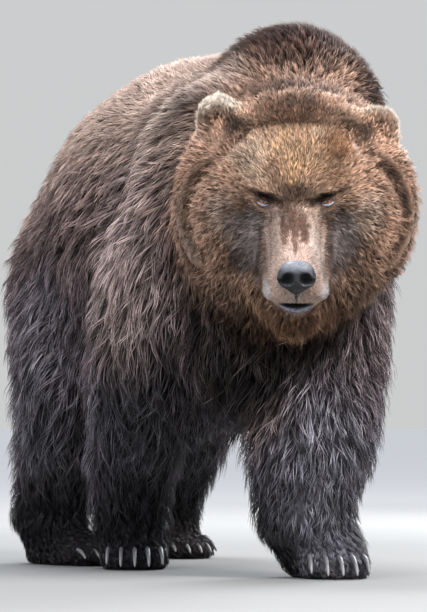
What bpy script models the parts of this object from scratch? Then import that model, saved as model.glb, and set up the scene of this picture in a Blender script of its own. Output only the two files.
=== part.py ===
"""A brown bear walking, life size, as one still model in named solids.

Frame: metres, +Z up, the bear faces -Y and its left side is +X. The origin is on the floor, at the middle of
the bear's bounding box. The whole body is shaped first, from overlapping masses of muscle and coat, and is then
parted with thin cuts. The surface is the outline of the coat, out to the tips of the hair.
"""

from math import cos, pi, radians, sin

import bmesh
import bpy
import numpy as np
from mathutils import Euler, Matrix, Vector

# ---- driving dimensions (metres, degrees) ----
GAP = 0.0003  # left between two solids that meet
VOXEL = 0.0105  # grain of the blended body before it is thinned
BODY_FACES = 3400  # triangles of the whole body before it is parted
HEAD_SHARE = 0.03  # how strongly the head and the feet are spared when the body is thinned

HEAD_YAW = -24.0  # the head is turned to the bear's right
HEAD_PITCH = 25.0  # and carried low
EYES_AT = Vector((-0.0975, -0.466, 0.827))  # midway between the eyes
EYE_SPACING = 0.139
EYE_RADIUS = 0.0155
NOSE_DROP = -0.011  # height of the nose's middle under the top of the muzzle's tip
EARS = {"left": ((0.184, 0.195, 0.102), (-6, 26, -14)), "right": ((-0.170, 0.195, 0.128), (-6, -20, 14))}
EAR_RADII = (0.056, 0.036, 0.062)

KNEE_CUT = 0.280  # height at which the upper legs end
WRIST_CUT = 0.105
ANKLE_CUT = 0.115

CLAW_SIDES = 5
CLAW_STEPS = 4


def clear_scene():
    for item in list(bpy.data.objects):
        bpy.data.objects.remove(item, do_unlink=True)


def head_frame():
    """The head's own frame: its origin is between the eyes, -Y runs along the muzzle and +Z over the brow."""
    turn = Euler((radians(HEAD_PITCH), 0.0, radians(HEAD_YAW)), "XYZ").to_matrix().to_4x4()
    return Matrix.Translation(EYES_AT) @ turn


# ---- masses ----
def add_ball(bm, centre, radii, turn=(0, 0, 0), frame=Matrix()):
    """An ellipsoid added to bm. turn is in degrees, in the given frame."""
    spin = Euler([radians(a) for a in turn], "XYZ").to_matrix().to_4x4()
    place = frame @ Matrix.Translation(Vector(centre)) @ spin @ Matrix.Diagonal((*radii, 1.0))
    bmesh.ops.create_icosphere(bm, subdivisions=3, radius=1.0, matrix=place)


def add_hull(bm, balls, frame=Matrix()):
    """The convex hull of a few ellipsoids: a tapering muscle, a length of leg."""
    cloud = bmesh.new()
    for ball in balls:
        add_ball(cloud, *ball, frame=frame)
    part = bmesh.new()
    for vert in cloud.verts:
        part.verts.new(vert.co)
    cloud.free()
    bmesh.ops.convex_hull(part, input=part.verts[:])
    bmesh.ops.delete(part, geom=[v for v in part.verts if not v.link_faces], context="VERTS")
    mesh = bpy.data.meshes.new("hull")
    part.to_mesh(mesh)
    part.free()
    bm.from_mesh(mesh)
    bpy.data.meshes.remove(mesh)


def add_trunk(bm):
    barrel = ((0.030, 0.38, 0.785), (0.320, 0.36, 0.430))
    loin = ((0.040, 0.62, 0.760), (0.315, 0.30, 0.418))
    rump = ((0.060, 0.83, 0.715), (0.275, 0.30, 0.340))
    chest = ((0.025, 0.06, 0.775), (0.310, 0.28, 0.375))
    brisket = ((0.015, -0.06, 0.58), (0.200, 0.18, 0.21))
    belly = ((0.025, 0.48, 0.545), (0.260, 0.36, 0.255))
    add_hull(bm, [barrel, loin])
    add_hull(bm, [loin, rump])
    add_hull(bm, [barrel, chest])
    add_hull(bm, [chest, brisket])
    add_hull(bm, [brisket, belly])
    hump = ((0.130, 0.05, 1.005), (0.238, 0.24, 0.272))
    add_hull(bm, [hump, ((0.085, -0.13, 0.960), (0.17, 0.12, 0.210))])
    add_hull(bm, [((0.11, 0.15, 1.00), (0.18, 0.20, 0.225)), ((0.03, 0.42, 1.00), (0.17, 0.27, 0.222))])
    add_ball(bm, (0.235, 0.03, 0.920), (0.130, 0.19, 0.270), (0, -10, 0))  # left shoulder blade
    add_ball(bm, (-0.130, 0.09, 0.890), (0.152, 0.19, 0.275), (0, 16, 0))  # right shoulder blade
    add_ball(bm, (0.060, 1.00, 0.690), (0.195, 0.20, 0.260))  # seat


def add_neck(bm):
    ruff = ((-0.025, -0.317, 0.825), (0.272, 0.115, 0.268), (10, 0, HEAD_YAW))
    nape = ((0.085, -0.02, 0.935), (0.230, 0.18, 0.250), (0, 0, 0))
    throat = ((0.015, -0.10, 0.740), (0.235, 0.18, 0.260), (0, 0, 0))
    add_hull(bm, [ruff, nape])
    add_hull(bm, [ruff, throat])


def add_head(bm):
    """The head's masses, in the head's own frame."""
    cranium = ((0, 0.150, -0.005), (0.168, 0.165, 0.148))
    forehead = ((0, 0.066, 0.048), (0.092, 0.060, 0.055))
    brow = ((0, 0.056, 0.014), (0.110, 0.056, 0.046))
    add_hull(bm, [forehead, brow, cranium])
    bridge = ((0, 0.020, -0.022), (0.054, 0.046, 0.040))
    middle = ((0, -0.070, -0.064), (0.056, 0.050, 0.042))
    snout = ((0, -0.152, -0.088), (0.046, 0.042, 0.042))
    add_hull(bm, [bridge, middle])
    lips = []
    for side in (-1, 1):
        cheek = ((side * 0.114, 0.152, -0.045), (0.120, 0.118, 0.150))
        jowl = ((side * 0.088, 0.112, -0.140), (0.105, 0.090, 0.105))
        ridge = ((side * 0.055, 0.036, 0.024), (0.036, 0.042, 0.026))
        lip = ((side * 0.034, -0.126, -0.134), (0.038, 0.054, 0.050))
        lip_root = ((side * 0.050, 0.000, -0.110), (0.044, 0.070, 0.064))
        add_hull(bm, [cheek, jowl])
        add_hull(bm, [ridge, cheek])
        add_hull(bm, [ridge, brow])
        add_hull(bm, [lip, lip_root])
        lips += [lip, lip_root]
    add_hull(bm, [middle, snout] + lips)
    chin = ((0, -0.108, -0.198), (0.040, 0.046, 0.024))
    jaw = ((0, 0.020, -0.180), (0.078, 0.080, 0.050))
    beard = ((0, -0.030, -0.245), (0.064, 0.055, 0.072))
    gullet = ((0, 0.085, -0.195), (0.150, 0.090, 0.095))
    add_hull(bm, [jaw, chin])
    add_hull(bm, [chin, beard])
    add_hull(bm, [jaw, beard])
    add_hull(bm, [beard, gullet])


LEG = {
    # cuff: where the long hair at the back of the wrist stands, in the foot's own frame
    "front_left": {
        "bones": [
            ((0.205, 0.010, 0.80), (0.150, 0.200, 0.22)),
            ((0.165, -0.040, 0.54), (0.172, 0.165, 0.12)),
            ((0.097, -0.130, 0.32), (0.170, 0.140, 0.09)),
            ((0.060, -0.165, 0.13), (0.120, 0.110, 0.07)),
        ],
        "cuff": (-0.048, 0.060),
        "paw": (0.107, -0.213),
        "yaw": -14.0,
    },
    "front_right": {
        "bones": [
            ((-0.160, 0.070, 0.78), (0.145, 0.200, 0.22)),
            ((-0.175, 0.190, 0.52), (0.145, 0.165, 0.13)),
            ((-0.120, 0.380, 0.29), (0.118, 0.125, 0.09)),
            ((-0.104, 0.460, 0.13), (0.104, 0.098, 0.07)),
        ],
        "cuff": (0.0, 0.030),
        "paw": (-0.097, 0.445),
        "yaw": -22.0,
    },
    "hind_left": {
        "bones": [
            ((0.195, 0.830, 0.68), (0.165, 0.250, 0.28)),
            ((0.250, 0.840, 0.46), (0.130, 0.165, 0.13)),
            ((0.280, 1.010, 0.26), (0.098, 0.115, 0.09)),
            ((0.282, 1.120, 0.12), (0.078, 0.090, 0.07)),
        ],
        "cuff": (0.0, 0.060),
        "paw": (0.273, 1.085),
        "yaw": 4.0,
    },
    "hind_right": {
        "bones": [
            ((-0.098, 0.800, 0.67), (0.172, 0.240, 0.27)),
            ((-0.187, 0.660, 0.45), (0.134, 0.165, 0.13)),
            ((-0.158, 0.740, 0.26), (0.128, 0.122, 0.09)),
            ((-0.166, 0.825, 0.12), (0.098, 0.095, 0.07)),
        ],
        "cuff": (0.0, 0.060),
        "paw": (-0.145, 0.745),
        "yaw": 17.0,
    },
}
FRONT_PAW = {"half_width": 0.090, "length": 0.20, "height": 0.070, "toe": 0.0195, "toe_step": 0.0300}
HIND_FOOT = {"half_width": 0.078, "length": 0.29, "height": 0.062, "toe": 0.0180, "toe_step": 0.0270}


def foot_frame(leg):
    x, y = LEG[leg]["paw"]
    return Matrix.Translation((x, y, 0.0)) @ Matrix.Rotation(radians(LEG[leg]["yaw"]), 4, "Z")


def foot_size(leg):
    return FRONT_PAW if leg.startswith("front") else HIND_FOOT


def toe_places(leg):
    """Where the five toes of a foot end, from its right to its left, in the foot's own frame."""
    size = foot_size(leg)
    places = []
    for step in (-2, -1, 0, 1, 2):
        reach = -size["length"] / 2 + 0.0065 * step * step
        places.append(Vector((step * size["toe_step"], reach, 0.030)))
    return places


def add_leg(bm, leg):
    bones = LEG[leg]["bones"]
    for upper, lower in zip(bones, bones[1:]):
        add_hull(bm, [upper, lower])
    size = foot_size(leg)
    frame = foot_frame(leg)
    half, height, length = size["half_width"], size["height"], size["length"]
    pad = ((0, -length * 0.20, height * 0.42), (half, 0.055, height * 0.62))
    heel = ((0, length * 0.28, height * 0.50), (half * 0.80, 0.060, height * 0.75))
    wrist = ((0, length * 0.14, height * 1.30), (half * 0.92, 0.070, 0.050))
    cuff_x, cuff_y = LEG[leg]["cuff"]
    cuff = ((cuff_x, cuff_y, 0.055), (half * 0.86, 0.060, 0.055))
    add_hull(bm, [pad, heel], frame=frame)
    add_hull(bm, [pad, wrist], frame=frame)
    add_hull(bm, [wrist, cuff], frame=frame)
    for place in toe_places(leg):
        root = (place + Vector((0, 0.050, 0.006)), (size["toe"] * 1.02, 0.030, 0.031))
        tip = (place, (size["toe"] * 0.94, 0.022, 0.028))
        add_hull(bm, [root, tip], frame=frame)


# ---- the whole body ----
def made_object(bm, name):
    mesh = bpy.data.meshes.new(name)
    bm.to_mesh(mesh)
    bm.free()
    return linked(mesh, name)


def linked(mesh, name):
    item = bpy.data.objects.new(name, mesh)
    item.name = name
    bpy.context.scene.collection.objects.link(item)
    return item


def evaluated_copy(item, name):
    """The object's mesh with its modifiers applied, as a new object."""
    graph = bpy.context.evaluated_depsgraph_get()
    mesh = bpy.data.meshes.new_from_object(item.evaluated_get(graph))
    bpy.data.objects.remove(item, do_unlink=True)
    return linked(mesh, name)


def blended(bm, name, voxel, rounds):
    """Overlapping masses turned into one closed surface and smoothed."""
    masses = made_object(bm, name + "_masses")
    blend = masses.modifiers.new("blend", "REMESH")
    blend.mode = "VOXEL"
    blend.voxel_size = voxel
    smooth = masses.modifiers.new("smooth", "SMOOTH")
    smooth.factor = 0.5
    smooth.iterations = rounds
    return biggest(evaluated_copy(masses, name), name)


def points_of(mesh):
    flat = np.empty(len(mesh.vertices) * 3, dtype=np.float32)
    mesh.vertices.foreach_get("co", flat)
    return flat.reshape(-1, 3)


def spared(points, head):
    """How strongly each point is kept when the body is thinned: 1 on the face and the feet, 0 on the flanks."""
    face = np.array((head @ Vector((0, -0.02, -0.04)))[:])
    near = np.linalg.norm(points - face, axis=1)
    on_face = np.clip((0.42 - near) / 0.22, 0, 1)
    on_feet = np.clip((0.16 - points[:, 2]) / 0.10, 0, 1)
    return np.maximum(on_face, on_feet * 0.6)


def thinned(item, name, weights, faces):
    mesh = item.data
    group = item.vertex_groups.new(name="thin")
    levels = np.round((1.0 - weights * HEAD_SHARE) * 200).astype(int)
    for level in np.unique(levels):
        group.add(np.nonzero(levels == level)[0].tolist(), level / 200.0, "REPLACE")
    thin = item.modifiers.new("thin", "DECIMATE")
    thin.vertex_group = "thin"
    thin.vertex_group_factor = 1.0
    thin.use_collapse_triangulate = True
    triangles = sum(len(face.vertices) - 2 for face in mesh.polygons)
    thin.ratio = faces / triangles
    return evaluated_copy(item, name)


def whole_body(head):
    bm = bmesh.new()
    add_trunk(bm)
    add_neck(bm)
    face = bmesh.new()
    add_head(face)
    face.transform(head)
    mesh = bpy.data.meshes.new("face")
    face.to_mesh(mesh)
    face.free()
    bm.from_mesh(mesh)
    bpy.data.meshes.remove(mesh)
    for leg in LEG:
        add_leg(bm, leg)
    body = blended(bm, "body", VOXEL, 6)
    return thinned(body, "body", spared(points_of(body.data), head), BODY_FACES)


# ---- parting ----
def sliced(item, name, point, normal, keep_front, keep=True):
    """The part of a solid on one side of a plane, closed again, half a gap away from the plane."""
    bm = bmesh.new()
    bm.from_mesh(item.data)
    normal = Vector(normal).normalized()
    side = 1.0 if keep_front else -1.0
    shifted = Vector(point) + normal * (side * GAP / 2)
    everything = bm.verts[:] + bm.edges[:] + bm.faces[:]
    bmesh.ops.bisect_plane(bm, geom=everything, dist=1e-6, plane_co=shifted, plane_no=normal * side, clear_inner=True)
    rim = [edge for edge in bm.edges if edge.is_boundary]
    bmesh.ops.holes_fill(bm, edges=rim, sides=0)
    bmesh.ops.recalc_face_normals(bm, faces=bm.faces[:])
    if not keep:
        bpy.data.objects.remove(item, do_unlink=True)
    return made_object(bm, name)


def carved(item, name, tool, operation):
    cut = item.modifiers.new("cut", "BOOLEAN")
    cut.object = tool
    cut.operation = operation
    cut.solver = "EXACT"
    return evaluated_copy(item, name)


def duplicate(item, name):
    return linked(item.data.copy(), name)


def swollen(item, name, by):
    """A copy of a solid whose surface is moved out along its normals."""
    bm = bmesh.new()
    bm.from_mesh(item.data)
    bmesh.ops.recalc_face_normals(bm, faces=bm.faces[:])
    bm.normal_update()
    moves = [vert.normal * by for vert in bm.verts]
    for vert, move in zip(bm.verts, moves):
        vert.co += move
    return made_object(bm, name)


def loose_parts(item):
    """The separate bodies of a mesh, each as a new bmesh; the object is removed."""
    bm = bmesh.new()
    bm.from_mesh(item.data)
    bpy.data.objects.remove(item, do_unlink=True)
    seen = set()
    found = []
    for start in bm.verts:
        if start.index in seen:
            continue
        stack, members = [start], {start.index}
        while stack:
            for edge in stack.pop().link_edges:
                for vert in edge.verts:
                    if vert.index not in members:
                        members.add(vert.index)
                        stack.append(vert)
        seen |= members
        part = bm.copy()
        part.verts.ensure_lookup_table()
        others = [vert for vert in part.verts if vert.index not in members]
        bmesh.ops.delete(part, geom=others, context="VERTS")
        found.append(part)
    bm.free()
    return found


def centre_of(bm):
    total = Vector()
    for vert in bm.verts:
        total += vert.co
    return total / len(bm.verts)


def upper_leg_wedge(name, side, foot, top, front, back, grow):
    """The block that parts an upper leg from the trunk: a slanted face from foot to top, closed outwards.

    foot and top are (distance from x = 0, height). grow widens the block on every face.
    """
    lean = Vector((foot[1] - top[1], 0, top[0] - foot[0])).normalized() * grow
    low = (foot[0] - (top[0] - foot[0]) * 0.9, foot[1] - (top[1] - foot[1]) * 0.9)
    profile = [(low[0] + lean.x, low[1] + lean.z), (0.9, low[1] + lean.z - 0.1), (0.9, 1.0 + lean.z)]
    high = (top[0] + (top[0] - foot[0]) * 0.9, top[1] + (top[1] - foot[1]) * 0.9)
    profile.append((high[0] + lean.x, high[1] + lean.z))
    bm = bmesh.new()
    rings = []
    for y in (front - grow, back + grow):
        rings.append([bm.verts.new((side * x, y, z)) for x, z in profile])
    bm.faces.new(rings[0])
    bm.faces.new(rings[1][::-1])
    for i in range(len(profile)):
        j = (i + 1) % len(profile)
        bm.faces.new((rings[0][i], rings[1][i], rings[1][j], rings[0][j]))
    bmesh.ops.recalc_face_normals(bm, faces=bm.faces[:])
    return made_object(bm, name)


LEG_WEDGES = {
    # side, (x, z) of the inner low edge, (x, z) of the outer high edge, front, back
    "front_left": (1, (0.030, 0.430), (0.360, 0.790), -0.42, 0.20),
    "front_right": (-1, (0.000, 0.430), (0.310, 0.770), -0.05, 0.495),
    "hind_left": (1, (0.080, 0.400), (0.400, 0.840), 0.56, 1.40),
    "hind_right": (-1, (0.010, 0.400), (0.300, 0.840), 0.50, 1.40),
}
NODE_WORDS = {"front_left": "front_leg_left", "front_right": "front_leg_right",
              "hind_left": "hind_leg_left", "hind_right": "hind_leg_right"}


def legs_and_body(body):
    """Cut the body at the floor, the knees, the wrists and the slanted planes of the upper legs."""
    parts = {}
    floor = sliced(body, "floor_cut", (0, 0, 0), (0, 0, 1), True, keep=False)
    upper = sliced(floor, "upper", (0, 0, KNEE_CUT), (0, 0, 1), True)
    lower = sliced(floor, "lower", (0, 0, KNEE_CUT), (0, 0, 1), False, keep=False)
    for bm in loose_parts(lower):
        middle = centre_of(bm)
        leg = min(LEG, key=lambda name: (Vector(LEG[name]["bones"][3][0]).xy - middle.xy).length)
        item = made_object(bm, "shank")
        cut = WRIST_CUT if leg.startswith("front") else ANKLE_CUT
        word = "front_paw" if leg.startswith("front") else "hind_foot"
        side = leg.split("_")[1]
        parts[f"{word}_{side}"] = sliced(item, f"{word}_{side}", (0, 0, cut), (0, 0, 1), False)
        name = "lower_" + NODE_WORDS[leg]
        parts[name] = sliced(item, name, (0, 0, cut), (0, 0, 1), True, keep=False)
    for leg, wedge in LEG_WEDGES.items():
        side, foot, top, front, back = wedge
        block = upper_leg_wedge("block", side, foot, top, front, back, 0.0)
        room = upper_leg_wedge("room", side, foot, top, front, back, GAP)
        name = "upper_" + NODE_WORDS[leg]
        parts[name] = carved(duplicate(upper, name), name, block, "INTERSECT")
        upper = carved(upper, "upper", room, "DIFFERENCE")
        bpy.data.objects.remove(block, do_unlink=True)
        bpy.data.objects.remove(room, do_unlink=True)
    return parts, upper


def along_head(head, direction):
    return head.to_3x3() @ Vector(direction)


def head_parts(upper, head):
    """The head, the lower jaw, the neck and the trunk."""
    parts = {}
    behind = head @ Vector((0, 0.200, 0))
    facing = along_head(head, (0, -0.951, 0.309))
    front = sliced(upper, "head", behind, facing, True)
    rest = sliced(upper, "rest", behind, facing, False, keep=False)
    nape, away = (0.03, -0.170, 0.83), (-0.25, -0.94, 0.22)
    parts["neck"] = sliced(rest, "neck", nape, away, True)
    parts["trunk"] = sliced(rest, "trunk", nape, away, False, keep=False)
    blocks = []
    for grow in (0.0, GAP):
        bm = bmesh.new()
        corners = []
        for x in (-0.30, 0.30):
            corners.append([(x, -0.30, -0.178 + grow), (x, 0.055 + grow, -0.150 + grow),
                            (x, 0.085 + grow, -0.190), (x, 0.020 + grow, -0.45), (x, -0.30, -0.45)])
        rings = [[bm.verts.new(head @ Vector(c)) for c in ring] for ring in corners]
        bm.faces.new(rings[0])
        bm.faces.new(rings[1][::-1])
        for i in range(5):
            j = (i + 1) % 5
            bm.faces.new((rings[0][i], rings[1][i], rings[1][j], rings[0][j]))
        bmesh.ops.recalc_face_normals(bm, faces=bm.faces[:])
        blocks.append(made_object(bm, "jaw_block"))
    parts["lower_jaw"] = carved(duplicate(front, "lower_jaw"), "lower_jaw", blocks[0], "INTERSECT")
    parts["head"] = carved(front, "head", blocks[1], "DIFFERENCE")
    for block in blocks:
        bpy.data.objects.remove(block, do_unlink=True)
    return parts


# ---- ears, nose, eyes, tail ----
def ball_object(name, centre, radii, turn=(0, 0, 0), frame=Matrix(), subdivisions=3):
    bm = bmesh.new()
    spin = Euler([radians(a) for a in turn], "XYZ").to_matrix().to_4x4()
    place = frame @ Matrix.Translation(Vector(centre)) @ spin @ Matrix.Diagonal((*radii, 1.0))
    bmesh.ops.create_icosphere(bm, subdivisions=subdivisions, radius=1.0, matrix=place)
    return made_object(bm, name)


def ear(side, head, skull):
    """A rounded cup: an upright lens with its front scooped out, standing on the skull."""
    centre, turn = EARS[side]
    name = f"ear_{side}"
    spin = Euler([radians(a) for a in turn], "XYZ").to_matrix().to_4x4()
    frame = head @ Matrix.Translation(Vector(centre)) @ spin
    shell = ball_object(name, (0, 0, 0), EAR_RADII, frame=frame, subdivisions=3)
    hollow = ball_object("hollow", (0, -0.034, -0.006), (0.038, 0.026, 0.044), frame=frame, subdivisions=2)
    cup = carved(shell, name, hollow, "DIFFERENCE")
    bpy.data.objects.remove(hollow, do_unlink=True)
    return less(cup, name, skull, GAP)


def less(item, name, other, gap):
    """A solid less a slightly swollen copy of another, so the two meet with a gap."""
    grown = swollen(other, "grown", gap)
    cut = carved(item, name, grown, "DIFFERENCE")
    bpy.data.objects.remove(grown, do_unlink=True)
    return biggest(cut, name)


def biggest(item, name):
    bodies = sorted(loose_parts(item), key=lambda bm: len(bm.verts))
    for bm in bodies[:-1]:
        bm.free()
    return made_object(bodies[-1], name)


def nose_pad(head, skull):
    bm = bmesh.new()
    top = ((0, -0.180, -0.062 + NOSE_DROP), (0.034, 0.022, 0.016))
    bottom = ((0, -0.184, -0.110 + NOSE_DROP), (0.012, 0.018, 0.013))
    wings = [((side * 0.0235, -0.183, -0.084 + NOSE_DROP), (0.0190, 0.026, 0.023)) for side in (-1, 1)]
    add_hull(bm, [top, bottom] + wings, frame=head)
    pad = made_object(bm, "nose_pad")
    thin = pad.modifiers.new("thin", "DECIMATE")
    thin.ratio = 0.28
    pad = evaluated_copy(pad, "nose_pad")
    for side in (-1, 1):
        place = (side * 0.0190, -0.212, -0.086 + NOSE_DROP)
        nostril = ball_object("nostril", place, (0.0110, 0.013, 0.0085), (0, side * 20, side * 14), head, 2)
        pad = carved(pad, "nose_pad", nostril, "DIFFERENCE")
        bpy.data.objects.remove(nostril, do_unlink=True)
    return less(pad, "nose_pad", skull, GAP)


def eye_place(side):
    return (side * EYE_SPACING / 2, 0.0140, 0.0)


def add_eyes(parts, head):
    """Each eye is a ball in a shallow orbit."""
    for word, side in (("left", 1), ("right", -1)):
        place = eye_place(side)
        orbit_place = (place[0] + side * 0.001, -0.012, -0.001)
        orbit = ball_object("orbit", orbit_place, (0.0215, 0.0200, 0.0130), (0, side * 8, 0), head, 2)
        socket = ball_object("socket", place, (EYE_RADIUS + GAP * 2,) * 3, (0, 0, 0), head, 2)
        for tool in (orbit, socket):
            parts["head"] = carved(parts["head"], "head", tool, "DIFFERENCE")
            bpy.data.objects.remove(tool, do_unlink=True)
        parts[f"eye_{word}"] = ball_object(f"eye_{word}", place, (EYE_RADIUS,) * 3, (0, 0, 0), head, 2)


def tail(trunk):
    bm = bmesh.new()
    add_hull(bm, [((0.06, 1.135, 0.800), (0.052, 0.060, 0.050)), ((0.06, 1.215, 0.700), (0.034, 0.030, 0.045))])
    item = made_object(bm, "tail")
    thin = item.modifiers.new("thin", "DECIMATE")
    thin.ratio = 0.35
    return less(evaluated_copy(item, "tail"), "tail", trunk, GAP)


# ---- claws ----
CLAWS = {
    "front": {"root": (0.018, 0.049), "length": 0.086, "from": -4.0, "to": -84.0, "width": 0.0062, "height": 0.0085},
    "hind": {"root": (0.018, 0.040), "length": 0.056, "from": -10.0, "to": -62.0, "width": 0.0055, "height": 0.0070},
}


def claw_mesh(leg, number, place, grow):
    """A claw swept along a falling arc, from inside the toe to its tip."""
    form = CLAWS[leg.split("_")[0]]
    back, height = form["root"]
    frame = foot_frame(leg)
    spread = (number - 3) * 3.0
    at = Vector((place.x, place.y + back, height))
    heading = Vector((sin(radians(spread)), -cos(radians(spread)), 0))
    across = Vector((cos(radians(spread)), sin(radians(spread)), 0))
    length = form["length"] * (0.88 if number in (1, 5) else 1.0)
    bm = bmesh.new()
    rings = []
    for step in range(CLAW_STEPS + 1):
        part = step / (CLAW_STEPS + 1)
        angle = radians(form["from"] + (form["to"] - form["from"]) * part)
        forward = heading * cos(angle) + Vector((0, 0, sin(angle)))
        up = Vector((0, 0, cos(angle))) - heading * sin(angle)
        taper = 1.0 - 0.62 * part**1.4
        ring = []
        for side in range(CLAW_SIDES):
            turn = 2 * pi * (side + 0.5) / CLAW_SIDES
            rim = across * (cos(turn) * (form["width"] * taper + grow)) + up * (sin(turn) * (form["height"] * taper + grow))
            ring.append(bm.verts.new(frame @ (at + rim - forward * (grow if step == 0 else 0))))
        rings.append(ring)
        at = at + forward * (length / (CLAW_STEPS + 1))
    tip = bm.verts.new(frame @ (at + forward * grow))
    for low, high in zip(rings, rings[1:]):
        for side in range(CLAW_SIDES):
            nxt = (side + 1) % CLAW_SIDES
            bm.faces.new((low[side], low[nxt], high[nxt], high[side]))
    for side in range(CLAW_SIDES):
        bm.faces.new((rings[-1][side], rings[-1][(side + 1) % CLAW_SIDES], tip))
    bm.faces.new(rings[0])
    bmesh.ops.recalc_face_normals(bm, faces=bm.faces[:])
    return bm


def claws_for(leg, foot):
    """The five claws of a foot, and the foot with a pocket cut for each."""
    made = {}
    word, side = leg.split("_")
    for number, place in enumerate(toe_places(leg), start=1):
        name = f"claw_{word}_{side}_{number}"
        made[name] = made_object(claw_mesh(leg, number, place, 0.0), name)
        pocket = made_object(claw_mesh(leg, number, place, GAP), "pocket")
        foot = carved(foot, foot.name, pocket, "DIFFERENCE")
        bpy.data.objects.remove(pocket, do_unlink=True)
    return made, foot


# ---- finish ----
COLOURS = {
    "coat_face": ((0.185, 0.100, 0.050, 1), 0.85),
    "coat_body": ((0.095, 0.052, 0.032, 1), 0.85),
    "coat_legs": ((0.028, 0.018, 0.014, 1), 0.85),
    "nose": ((0.060, 0.062, 0.070, 1), 0.40),
    "eyes": ((0.090, 0.035, 0.012, 1), 0.12),
    "claws": ((0.420, 0.380, 0.300, 1), 0.45),
}


def paint(parts):
    slots = {}
    for name, (colour, roughness) in COLOURS.items():
        material = bpy.data.materials.new(name)
        material.use_nodes = True
        shader = material.node_tree.nodes["Principled BSDF"]
        shader.inputs["Base Color"].default_value = colour
        shader.inputs["Roughness"].default_value = roughness
        slots[name] = material
    for name, item in parts.items():
        slot = "coat_body"
        if name.startswith("claw"):
            slot = "claws"
        elif name.startswith("eye"):
            slot = "eyes"
        elif name == "nose_pad":
            slot = "nose"
        elif name.startswith(("head", "lower_jaw", "ear")):
            slot = "coat_face"
        elif name.startswith(("lower", "front_paw", "hind_foot")):
            slot = "coat_legs"
        item.data.materials.clear()
        item.data.materials.append(slots[slot])


def centre_on_floor(parts):
    points = np.concatenate([points_of(item.data) for item in parts.values()])
    low, high = points.min(0), points.max(0)
    shift = Vector((-(low[0] + high[0]) / 2, -(low[1] + high[1]) / 2, -low[2]))
    for item in parts.values():
        item.data.transform(Matrix.Translation(shift))
    print("shift", [round(v, 5) for v in shift], "size", [round(float(v), 4) for v in high - low])


def tidy_mesh(item):
    bm = bmesh.new()
    bm.from_mesh(item.data)
    bmesh.ops.remove_doubles(bm, verts=bm.verts[:], dist=2e-5)
    bmesh.ops.triangulate(bm, faces=bm.faces[:])
    bmesh.ops.recalc_face_normals(bm, faces=bm.faces[:])
    bm.to_mesh(item.data)
    bm.free()


def build():
    clear_scene()
    head = head_frame()
    body = whole_body(head)
    parts, upper = legs_and_body(body)
    parts.update(head_parts(upper, head))
    parts["ear_left"] = ear("left", head, parts["head"])
    parts["ear_right"] = ear("right", head, parts["head"])
    for word in ("left", "right"):
        parts[f"ear_{word}"] = less(parts[f"ear_{word}"], f"ear_{word}", parts["neck"], GAP)
    parts["nose_pad"] = nose_pad(head, parts["head"])
    add_eyes(parts, head)
    parts["tail"] = tail(parts["trunk"])
    for leg in LEG:
        word, side = leg.split("_")
        foot = f"front_paw_{side}" if word == "front" else f"hind_foot_{side}"
        claws, parts[foot] = claws_for(leg, parts[foot])
        parts.update(claws)
    for name in parts:
        parts[name] = biggest(parts[name], name)
        tidy_mesh(parts[name])
    centre_on_floor(parts)
    paint(parts)
    return parts


if __name__ == "__main__":
    build()
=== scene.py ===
import itertools
import math

import bmesh
import bpy
import numpy as np
from mathutils import Euler, Matrix, Vector
from mathutils.bvhtree import BVHTree
from mathutils.kdtree import KDTree


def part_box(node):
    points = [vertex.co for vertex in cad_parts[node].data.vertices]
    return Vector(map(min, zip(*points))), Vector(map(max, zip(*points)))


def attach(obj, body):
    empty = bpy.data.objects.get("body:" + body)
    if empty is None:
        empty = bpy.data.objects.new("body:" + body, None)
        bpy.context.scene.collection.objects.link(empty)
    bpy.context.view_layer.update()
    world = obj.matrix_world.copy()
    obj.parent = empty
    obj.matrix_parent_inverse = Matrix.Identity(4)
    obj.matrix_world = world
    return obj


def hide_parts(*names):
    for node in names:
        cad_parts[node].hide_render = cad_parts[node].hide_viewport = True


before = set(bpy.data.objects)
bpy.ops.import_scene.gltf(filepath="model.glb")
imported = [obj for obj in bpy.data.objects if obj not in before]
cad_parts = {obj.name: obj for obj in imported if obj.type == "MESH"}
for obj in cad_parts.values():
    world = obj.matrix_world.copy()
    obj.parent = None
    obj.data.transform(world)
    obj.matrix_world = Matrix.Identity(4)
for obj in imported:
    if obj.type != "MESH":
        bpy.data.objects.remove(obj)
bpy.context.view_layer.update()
scene = bpy.context.scene
print("frame loaded")


# small helpers on arrays of places, one row each

def unit(rows):
    return rows / np.maximum(np.linalg.norm(rows, axis=-1, keepdims=True), 1e-9)


def ease(low, high, values):  # 0 below low, 1 above high, smooth between
    share = np.clip((values - low) / (high - low), 0.0, 1.0)
    return share * share * (3 - 2 * share)


def mixRows(first, second, share):
    share = np.asarray(share)[..., None]
    return first * (1 - share) + second * share


def alongSurface(directions, normals):
    flat = directions - normals * np.sum(directions * normals, axis=1, keepdims=True)
    return unit(flat)


def turned(directions, normals, turn):
    # turned about the normals, in radians
    turn = turn[:, None]
    return directions * np.cos(turn) + np.cross(normals, directions) * np.sin(turn)


def ripple(places, size, seed):
    # soft random values from -1 to 1 whose bumps are about this size
    cells = places / size
    low = np.floor(cells).astype(np.int64)
    part = cells - low
    part = part * part * (3 - 2 * part)
    total = np.zeros(len(places))
    for corner in itertools.product((0, 1), repeat=3):
        key = (low + corner) @ np.array((73856093, 19349663, 83492791)) + seed * 7919
        key = (key ^ (key >> 13)) * 1274126177
        value = ((key ^ (key >> 16)) & 0xFFFF) / 32767.5 - 1
        total += value * np.prod(np.where(corner, part, 1 - part), axis=1)
    return total


def mirrored(spots, entry):
    # a copy of these places, with both sides taken as one where the entry is mirrored
    spots = spots.copy()
    if entry.get("mirror"):
        spots[:, 0] = np.abs(spots[:, 0])
    return spots


def middle(*nodes):  # the middle of the box round these nodes
    corners = [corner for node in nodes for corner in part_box(node)]
    low = Vector(map(min, *corners))
    high = Vector(map(max, *corners))
    return (low + high) / 2


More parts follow.
